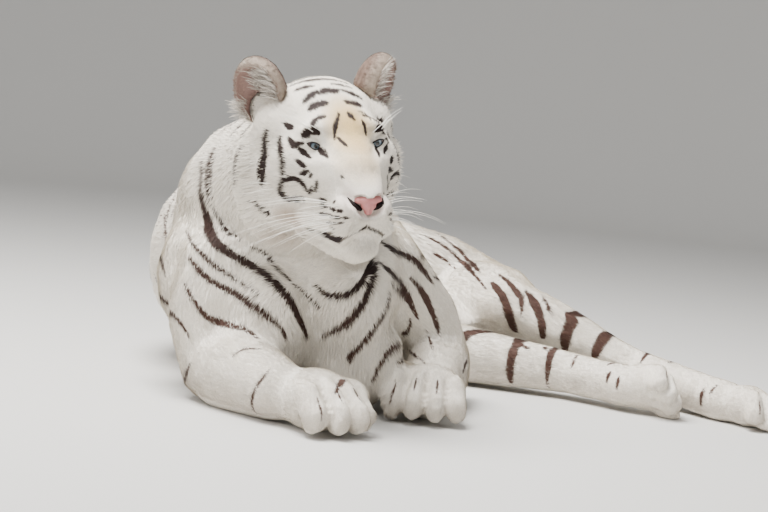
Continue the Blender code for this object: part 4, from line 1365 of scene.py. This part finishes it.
def wander(places, size, seed):
    """A smooth number from -1 to 1 that changes over the body."""
    x, y, z = (places * size).T
    return np.sin(x + 1.7 * np.sin(y + seed) + seed) * np.cos(z + 1.3 * np.sin(x * 0.7 - seed) + y * 0.6)


def tuft_colours(places, run, long, random, on_ear):
    """Two colours of each tuft, from where its middle and its tip lie on the coat."""
    count = len(places)
    stray, light = random.normal(0, 0.0006, count), random.normal(1.0, 0.030, count)[:, None]
    creamy, bleached = 0.10 * random.random(count), random.uniform(0.70, 1.20, count)[:, None]
    both = []
    for along in (0.42, 0.92):
        lies_at = places + run * (long * along)[:, None]
        on_coat = np.array([drawing_skin.find_nearest(p)[0] for p in lies_at.tolist()])
        colours = mixed(coat_tone(on_coat), LIP_AND_SHADE, lip_share(on_coat) * 0.9)
        colours = mixed(colours * light, CREAM, creamy)
        if on_ear:
            return [ear_tone(places, colours)] * 2
        dark = ramp(ink_margin(on_coat) + 0.0004 + stray, -0.0006, 0.0006)
        both.append(colours + (ink_colour(on_coat) * bleached - colours) * dark[:, None])
    return both


def grow(name, chosen, seed, most):
    """One piece of the coat, over the chosen triangles of the skin."""
    random = np.random.default_rng(seed)
    triangles = corners[chosen]
    a, b, c = (drawn_in[triangles[:, k]] for k in range(3))
    area = np.linalg.norm(np.cross(b - a, c - a), axis=1) / 2
    middle_at, out = (a + b + c) / 3, normals[triangles].mean(axis=1)
    long = length[triangles].mean(axis=1)
    need = COVER * area / (0.5 * long * (WIDE_BASE + WIDE * long)) * ~bare(middle_at, out)
    count = min(most, int(need.sum()))
    flat = unwrapped(triangles)
    pick = np.sort(random.choice(len(triangles), count, p=need / need.sum()))
    u, v = random.random(count), random.random(count)
    over = u + v > 1
    u[over], v[over] = 1 - u[over], 1 - v[over]
    share = np.stack([1 - u - v, u, v], 1)

    def at_roots(values):
        return (values[triangles[pick]] * share[:, :, None]).sum(axis=1)

    at, out, run = at_roots(drawn_in), at_roots(normals), at_roots(way)
    out /= np.linalg.norm(out, axis=1)[:, None]
    side = np.cross(out, run)
    turn = 0.16 * wander(at, 55, seed % 7) + random.normal(0, 0.13, count)
    run = run * np.cos(turn)[:, None] + side * np.sin(turn)[:, None]
    run -= out * (run * out).sum(axis=1)[:, None]
    run /= np.maximum(np.linalg.norm(run, axis=1), 1e-6)[:, None]
    deep, hair = at_roots(depth[:, None])[:, 0], at_roots(length[:, None])[:, 0]
    hair = hair * random.uniform(0.72, 1.22, count)
    wide = (WIDE_BASE + WIDE * hair) * random.uniform(0.7, 1.25, count)
    lift = deep * random.uniform(0.32, 0.72, count)
    on_ear = name == "coat_ears"
    patchy = (1 + 0.05 * wander(at, 38, 2.0))[:, None]
    colours = [tones * patchy for tones in tuft_colours(at_roots(points), run, hair, random, on_ear)]
    place = (flat[pick] * share[:, :, None]).sum(axis=1)
    mesh = slivers(name, at, out, run, hair, wide, lift, colours, place)
    finish_piece(name, mesh, hair_material)


centre = points[corners].mean(axis=1)
station = along_line(centre, "back")[0]
owner = line_number[corners[:, 0]]
LINES = list(GROWTH)
HEAD_NUMBER, EAR_NUMBER = len(LINES), len(LINES) + 1
face = in_head(centre)[:, 1] > 0.066
PIECES = (  # name, the triangles it grows on, and the most tufts in it
    ("coat_face", (owner == HEAD_NUMBER) & face, 49000),
    ("coat_crown", (owner == HEAD_NUMBER) & ~face, 32000),
    ("coat_ears", owner == EAR_NUMBER, 13000),
    ("coat_neck", (owner == LINES.index("back")) & (station < 2.4), 34000),
    ("coat_chest", owner == LINES.index("throat"), 20000),
    ("coat_arm_right", owner == LINES.index("arm_right"), 48000),
    ("coat_arm_left", owner == LINES.index("arm_left"), 44000),
    ("coat_trunk", (owner == LINES.index("back")) & (station >= 2.4), 49000),
    ("coat_leg_left", owner == LINES.index("leg_left"), 40000),
    ("coat_leg_right", owner == LINES.index("leg_right"), 27000),
    ("coat_tail", owner == LINES.index("tail"), 11000),
)
for seed, (name, chosen, most) in enumerate(PIECES):
    grow(name, np.flatnonzero(chosen), 100 + seed, most)

# ------------------------------------------------------------------ eyes
# Glass eyes with round pupils and pale grey-blue irises, set behind the lids, and the dark bare
# rims of the lids, which lie on the glass round the opening.

IRIS, PUPIL = 0.0076, 0.0027  # radii
CORNEA = 0.0011  # how far the clear front stands out
EYE_RINGS, EYE_AROUND = 44, 56
RIM_OVER, RIM_UNDER = 0.0013, 0.0010  # half thickness of the rims


def eye_mesh(side):
    """An eyeball with a slightly raised front. Each point keeps its own direction from the middle."""
    place = eye_frame(side)
    rings, around = EYE_RINGS, EYE_AROUND
    ways = [(0, 0, 1)]
    for ring in range(1, rings):
        tilt = math.pi * (ring / rings) ** 1.35  # the rings are closest at the front
        for k in range(around):
            turn = 2 * math.pi * k / around
            ways.append((math.sin(tilt) * math.cos(turn), math.sin(tilt) * math.sin(turn), math.cos(tilt)))
    ways.append((0, 0, -1))
    ways = np.array(ways)
    across = np.linalg.norm(ways[:, :2], axis=1) * EYE_RADIUS
    front = np.clip(1 - (across / (IRIS * 1.1)) ** 2, 0, 1) * (ways[:, 2] > 0)
    at = out_of_frame(ways * (EYE_RADIUS + CORNEA * front)[:, None], place)
    faces = [(0, 1 + k, 1 + (k + 1) % around) for k in range(around)]
    for ring in range(rings - 2):
        a, b = 1 + ring * around, 1 + (ring + 1) * around
        faces += [(a + k, b + k, b + (k + 1) % around, a + (k + 1) % around) for k in range(around)]
    last, end = 1 + (rings - 2) * around, len(ways) - 1
    faces += [(last + k, end, last + (k + 1) % around) for k in range(around)]
    mesh = bpy.data.meshes.new("eye")
    mesh.from_pydata(at.tolist(), [], faces)
    mesh.attributes.new("eye_way", "FLOAT_VECTOR", "POINT").data.foreach_set(
        "vector", ways.astype(np.float32).ravel())
    mesh.shade_smooth()
    return mesh


def eye_material():
    """Pupil, streaked iris, dark edge and white of the eye, under a wet clear coat."""
    material = bpy.data.materials.new("eye")
    material.use_nodes = True
    nodes, links = material.node_tree.nodes, material.node_tree.links
    surface = nodes["Principled BSDF"]
    surface.inputs["Roughness"].default_value = 0.18
    surface.inputs["Coat Weight"].default_value = 1.0
    surface.inputs["Coat Roughness"].default_value = 0.02
    flat = nodes.new("ShaderNodeVectorMath")
    flat.operation = "MULTIPLY"
    flat.inputs[1].default_value = (1, 1, 0)
    links.new(attribute(nodes, "eye_way").outputs["Vector"], flat.inputs[0])
    off = nodes.new("ShaderNodeVectorMath")
    off.operation = "LENGTH"
    links.new(flat.outputs["Vector"], off.inputs[0])
    around = nodes.new("ShaderNodeVectorMath")
    around.operation = "NORMALIZE"
    links.new(flat.outputs["Vector"], around.inputs[0])
    streaks = nodes.new("ShaderNodeTexNoise")
    streaks.inputs["Scale"].default_value = 9
    streaks.inputs["Detail"].default_value = 3
    links.new(around.outputs["Vector"], streaks.inputs["Vector"])
    bright = nodes.new("ShaderNodeMapRange")
    bright.inputs["From Min"].default_value, bright.inputs["From Max"].default_value = 0.3, 0.7
    bright.inputs["To Min"].default_value, bright.inputs["To Max"].default_value = 0.6, 1.35
    links.new(streaks.outputs["Fac"], bright.inputs["Value"])
    rings = nodes.new("ShaderNodeValToRGB")
    iris, pupil = IRIS / EYE_RADIUS, PUPIL / EYE_RADIUS
    stops = (
        (0.0, (0.003, 0.003, 0.004)), (pupil * 0.94, (0.003, 0.003, 0.004)),
        (pupil * 1.12, (0.085, 0.11, 0.12)), (iris * 0.62, (0.13, 0.18, 0.215)),
        (iris * 0.86, (0.085, 0.12, 0.155)), (iris * 0.98, (0.012, 0.012, 0.014)),
        (iris * 1.14, (0.020, 0.014, 0.013)), (iris * 1.40, (0.16, 0.10, 0.085)),
    )
    for k, (stop, colour) in enumerate(stops):
        element = rings.color_ramp.elements[k] if k < 2 else rings.color_ramp.elements.new(stop)
        element.position, element.color = stop, (*colour, 1)
    links.new(off.outputs["Value"], rings.inputs["Fac"])
    shaded = times(nodes, links, rings.outputs["Color"], bright.outputs["Result"])
    links.new(shaded, surface.inputs["Base Color"])
    return material


glass = eye_material()
for side, name in ((RIGHT, "eye_right"), (LEFT, "eye_left")):
    eye = finish_piece("glass_" + name, eye_mesh(side), glass)
    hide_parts(name)


def tube(mesh_name, paths, around=8):
    """A mesh of closed tapering tubes. Each path is rows of x, y, z and half thickness."""
    verts, faces = [], []
    for path in paths:
        rows = np.array(path, float)
        first = len(verts)
        for k, row in enumerate(rows):
            way = rows[min(k + 1, len(rows) - 1), :3] - rows[max(k - 1, 0), :3]
            way /= np.linalg.norm(way)
            side = np.cross(way, (0.31, 0.17, 0.93))
            side /= np.linalg.norm(side)
            top = np.cross(side, way)
            for turn in np.arange(around) * 2 * math.pi / around:
                verts.append(row[:3] + row[3] * (side * math.cos(turn) + top * math.sin(turn)))
        for k in range(len(rows) - 1):
            a, b = first + k * around, first + (k + 1) * around
            faces += [(a + n, b + n, b + (n + 1) % around, a + (n + 1) % around) for n in range(around)]
        faces.append(tuple(first + n for n in range(around)))
        faces.append(tuple(first + (len(rows) - 1) * around + n for n in reversed(range(around))))
    mesh = bpy.data.meshes.new(mesh_name)
    mesh.from_pydata([tuple(v) for v in verts], [], faces)
    bm = bmesh.new()
    bm.from_mesh(mesh)
    bmesh.ops.recalc_face_normals(bm, faces=bm.faces)
    bm.to_mesh(mesh)
    bm.free()
    mesh.shade_smooth()
    return mesh


def plain_material(name, colour, roughness, specular=0.5):
    """One even finish, for small dark or pale parts."""
    material = bpy.data.materials.new(name)
    material.use_nodes = True
    surface = material.node_tree.nodes["Principled BSDF"]
    surface.inputs["Base Color"].default_value = (*colour, 1)
    surface.inputs["Roughness"].default_value = roughness
    surface.inputs["Specular IOR Level"].default_value = specular
    return material


rims = []
for side in (RIGHT, LEFT):
    place = eye_frame(side)
    for over in (True, False):
        rim = []
        for t in np.linspace(0, 1, 25):
            x = -EYE_ACROSS * 1.06 + t * (2.06 * EYE_ACROSS + 0.0050)
            edge = lid_edge(np.array([x]))[0 if over else 1][0] * (1 if over else -1)
            y = edge - 0.0016 * ramp(np.array([x]), EYE_ACROSS * 0.8, EYE_ACROSS * 1.4)[0]
            z = math.sqrt(EYE_RADIUS ** 2 - min(x * x + y * y, 0.00025)) + 0.0012
            thick = (RIM_OVER if over else RIM_UNDER) * (0.55 + 0.45 * math.sin(math.pi * t))
            rim.append((*out_of_frame(np.array([(x, y, z)]), place)[0], thick))
        rims.append(rim)
dark_skin = plain_material("dark_skin", (0.014, 0.010, 0.010), 0.55, 0.3)
finish_piece("eyelid_rims", tube("eyelid_rims", rims), dark_skin)

# ------------------------------------------------------------------ nose
# Damp pink leather at the end of the muzzle, pinched to a point below, with a comma-shaped nostril
# on each side that curls up over the wing. The nostrils are near-black, painted shade of the openings.

NOSE_VOXEL, NOSE_EASING = 0.00115, 34
NOSE_LUMPS = (  # middle and reach, in the head; the ones off the middle are doubled
    ((0, 0.1802, -0.0226), (0.0190, 0.0120, 0.0078)),
    ((0.0152, 0.1778, -0.0224), (0.0078, 0.0092, 0.0055)),
    ((0, 0.1812, -0.0300), (0.0122, 0.0108, 0.0095)),
    ((0, 0.1802, -0.0385), (0.0066, 0.0096, 0.0078)),
)
NOSTRIL_BENDS, NOSTRIL_EASING, NOSTRIL_SUNK = 33, 12, 0.25
NOSE_PINK, NOSE_BROWN = (0.52, 0.195, 0.19), (0.20, 0.075, 0.065)


def nose_mesh():
    """Lumps melted together. Each point has its colour, with painted shade in the crease down the middle."""
    lumps = bmesh.new()
    for centre, reach in NOSE_LUMPS:
        for side in (1, -1) if centre[0] else (1,):
            shape = Matrix.Translation((side * centre[0], *centre[1:])) @ Matrix.Diagonal((*reach, 1))
            bmesh.ops.create_icosphere(lumps, subdivisions=4, radius=1, matrix=HEAD @ shape)
    mesh = bpy.data.meshes.new("nose")
    lumps.to_mesh(mesh)
    lumps.free()
    mesh = melted(mesh, NOSE_VOXEL)
    places = eased(mesh_points(mesh), mesh_edges(mesh), NOSE_EASING, np.ones(len(mesh.vertices)))
    local = in_head(places)
    crease = np.exp(-(local[:, 0] / 0.0013) ** 2) * ramp(-local[:, 2], 0.026, 0.036)
    local[:, 1] -= 0.0013 * crease
    set_points(mesh, out_of_head(local))
    colours = np.tile(np.array(NOSE_PINK), (len(local), 1))
    lobe_ends = 0.8 * ramp(np.abs(local[:, 0]), 0.0190, 0.0225)
    edge = np.maximum(ramp(local[:, 2], -0.0190, -0.0160), lobe_ends)
    colours = mixed(colours, NOSE_BROWN, 0.55 * edge)
    # painted shade: the crease down the middle darker
    colours = mixed(colours, NOSE_BROWN, 0.5 * crease)
    add_colour(mesh, "nose_colour", colours)
    mesh.shade_smooth()
    return mesh


def nose_material():
    """Pebbled pink leather, damp."""
    material = bpy.data.materials.new("nose_leather")
    material.use_nodes = True
    nodes, links = material.node_tree.nodes, material.node_tree.links
    surface = nodes["Principled BSDF"]
    surface.inputs["Roughness"].default_value = 0.42
    surface.inputs["Subsurface Weight"].default_value = 0.08
    links.new(attribute(nodes, "nose_colour").outputs["Color"], surface.inputs["Base Color"])
    place = nodes.new("ShaderNodeTexCoord")
    pebbles = nodes.new("ShaderNodeTexVoronoi")
    pebbles.inputs["Scale"].default_value = 900
    links.new(place.outputs["Object"], pebbles.inputs["Vector"])
    bump = nodes.new("ShaderNodeBump")
    bump.inputs["Strength"].default_value = 0.35
    bump.inputs["Distance"].default_value = 0.0005
    bump.invert = True
    links.new(pebbles.outputs["Distance"], bump.inputs["Height"])
    links.new(bump.outputs["Normal"], surface.inputs["Normal"])
    return material


leather = finish_piece("nose_leather", nose_mesh(), nose_material())
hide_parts("nose")
final_skin = BVHTree.FromPolygons(drawn_in.tolist(), corners.tolist())
nostrils = []
for side in (RIGHT, LEFT):
    path = []
    for x, z, thick in curve_through(NOSTRIL, NOSTRIL_BENDS):
        start, way_in = HEAD @ Vector((side * x, 1, z)), HEAD.to_3x3() @ Vector((0, -1, 0))
        hit, outward, _, _ = final_skin.ray_cast(start, way_in)
        path.append((*(hit - outward * NOSTRIL_SUNK * thick), thick))
    path = np.array(path)
    for _ in range(NOSTRIL_EASING):
        path[1:-1, :3] = (path[:-2, :3] + 2 * path[1:-1, :3] + path[2:, :3]) / 4
    nostrils.append(path)
# painted shade: near-black tubes sunk in the skin stand for the shade inside the nostrils
nostril_shade = plain_material("nostril_shade", (0.012, 0.007, 0.007), 0.7, 0.15)
finish_piece("nostrils", tube("nostrils", nostrils, 16), nostril_shade)

# ------------------------------------------------------------------ whiskers
# Long stiff pale hairs: rows on the whisker pads, a few over each eye and on the cheeks. Each is a
# tapering bristle with its root in the skin.

WHISKER_THICK, WHISKER_TIP = 0.00060, 0.00012
WHISKERS = (  # ahead and up of the root on the side of the head, in mm; length; rise and back sweep
    (112, -34, 0.075, 0.25, 0.75), (125, -33, 0.105, 0.22, 0.68), (138, -33, 0.120, 0.18, 0.60),
    (152, -33, 0.110, 0.15, 0.50), (164, -33, 0.080, 0.12, 0.40),
    (120, -53, 0.110, 0.02, 0.80), (134, -52, 0.140, 0.00, 0.70), (148, -51, 0.150, -0.03, 0.60),
    (162, -49, 0.120, -0.05, 0.50), (172, -49, 0.085, -0.08, 0.42),
    (128, -64, 0.100, -0.18, 0.80), (141, -62, 0.130, -0.20, 0.70), (154, -61, 0.125, -0.22, 0.60),
    (167, -59, 0.100, -0.25, 0.52), (146, -71, 0.085, -0.38, 0.62), (156, -70, 0.075, -0.42, 0.55),
    (78, 74, 0.060, 0.85, 0.55), (84, 70, 0.070, 0.80, 0.45), (90, 66, 0.055, 0.75, 0.35),
    (30, -22, 0.060, 0.00, 0.90), (36, -30, 0.050, -0.15, 0.90),
)
BRISTLE_BENDS = 9


def whisker_paths():
    """Each whisker's places, which droop to the tip, with half thicknesses."""
    paths = []
    straying = np.random.default_rng(5)
    for side in (RIGHT, LEFT):
        for ahead, up, reach, rise, sweep in WHISKERS:
            start = HEAD @ Vector((side * 0.3, ahead / 1000, up / 1000))
            way_in = HEAD.to_3x3() @ Vector((-side, 0, 0))
            root = drawing_skin.ray_cast(start, way_in)[0]
            stray = Vector(straying.normal(0, 0.06, 3))
            out = (HEAD.to_3x3() @ (Vector((side, -sweep, rise)) + stray)).normalized()
            reach = reach * straying.uniform(0.85, 1.15)
            path = []
            for t in np.linspace(0, 1, BRISTLE_BENDS):
                place = root + out * (reach * t - 0.004) + Vector((0, 0, -0.22 * reach * t * t))
                path.append((*place, WHISKER_THICK + (WHISKER_TIP - WHISKER_THICK) * t))
            paths.append(path)
    return paths


bristle = plain_material("whisker", (0.90, 0.87, 0.80), 0.35)
finish_piece("whiskers", tube("whiskers", whisker_paths(), 5), bristle)

# ------------------------------------------------------------------ long hair in the ears
# Pale locks of long soft hair. They grow from the front edge and the foot of each hollow and fan
# out across it.

EAR_LOCKS, LOCK_COLOUR = 520, (0.80, 0.74, 0.66)
lock_chance = np.random.default_rng(23)
ear_corners = corners[np.all(corners >= EARS_FROM, axis=1)]
lock_at, lock_out, lock_run, lock_long = [], [], [], []
for side in (RIGHT, LEFT):
    place = ear_frame(side)
    middle_at = in_frame(drawn_in[ear_corners].mean(axis=1), place)
    out = np.sqrt(((middle_at - HOLLOW_AT) ** 2 / (EAR_SIZE * HOLLOW_SHARE) ** 2).sum(axis=1))
    front = -side * middle_at[:, 0]
    fit = (out < 1.09) & ((front > -0.008) | (middle_at[:, 2] < -0.014)) & (middle_at[:, 2] < 0.036)
    fit &= np.linalg.norm(middle_at, axis=1) < 0.075
    chosen = lock_chance.choice(np.flatnonzero(fit), EAR_LOCKS)
    axes = np.array(place.to_3x3())
    lock_at.append(drawn_in[ear_corners[chosen]].mean(axis=1))
    lock_out.append(normals[ear_corners[chosen]].mean(axis=1))
    run = np.array((side * 0.45, 0.55, 0.80)) + lock_chance.normal(0, 0.22, (EAR_LOCKS, 3))
    run[:, 2] += 5 * middle_at[chosen][:, 2]
    lock_run.append(run @ axes.T)
    lock_long.append(lock_chance.uniform(0.016, 0.034, EAR_LOCKS))
lock_at, lock_out, lock_run = np.vstack(lock_at), np.vstack(lock_out), np.vstack(lock_run)
lock_long = np.concatenate(lock_long)
lock_run /= np.linalg.norm(lock_run, axis=1)[:, None]
lock_out -= lock_run * (lock_out * lock_run).sum(axis=1)[:, None]
lock_out /= np.linalg.norm(lock_out, axis=1)[:, None]
lock_colours = np.array(LOCK_COLOUR) * lock_chance.uniform(0.8, 1.1, (len(lock_at), 1))
lock_flat = lock_chance.random((len(lock_at), 2)) * 0.9 + 0.05
ear_hair = slivers("ear_hair", lock_at, lock_out, lock_run, lock_long, 0.0003 + 0.026 * lock_long,
                   0.0 * lock_long, (lock_colours, lock_colours), lock_flat, rings=3, droop=0.12)
finish_piece("ear_hair", ear_hair, hair_material)
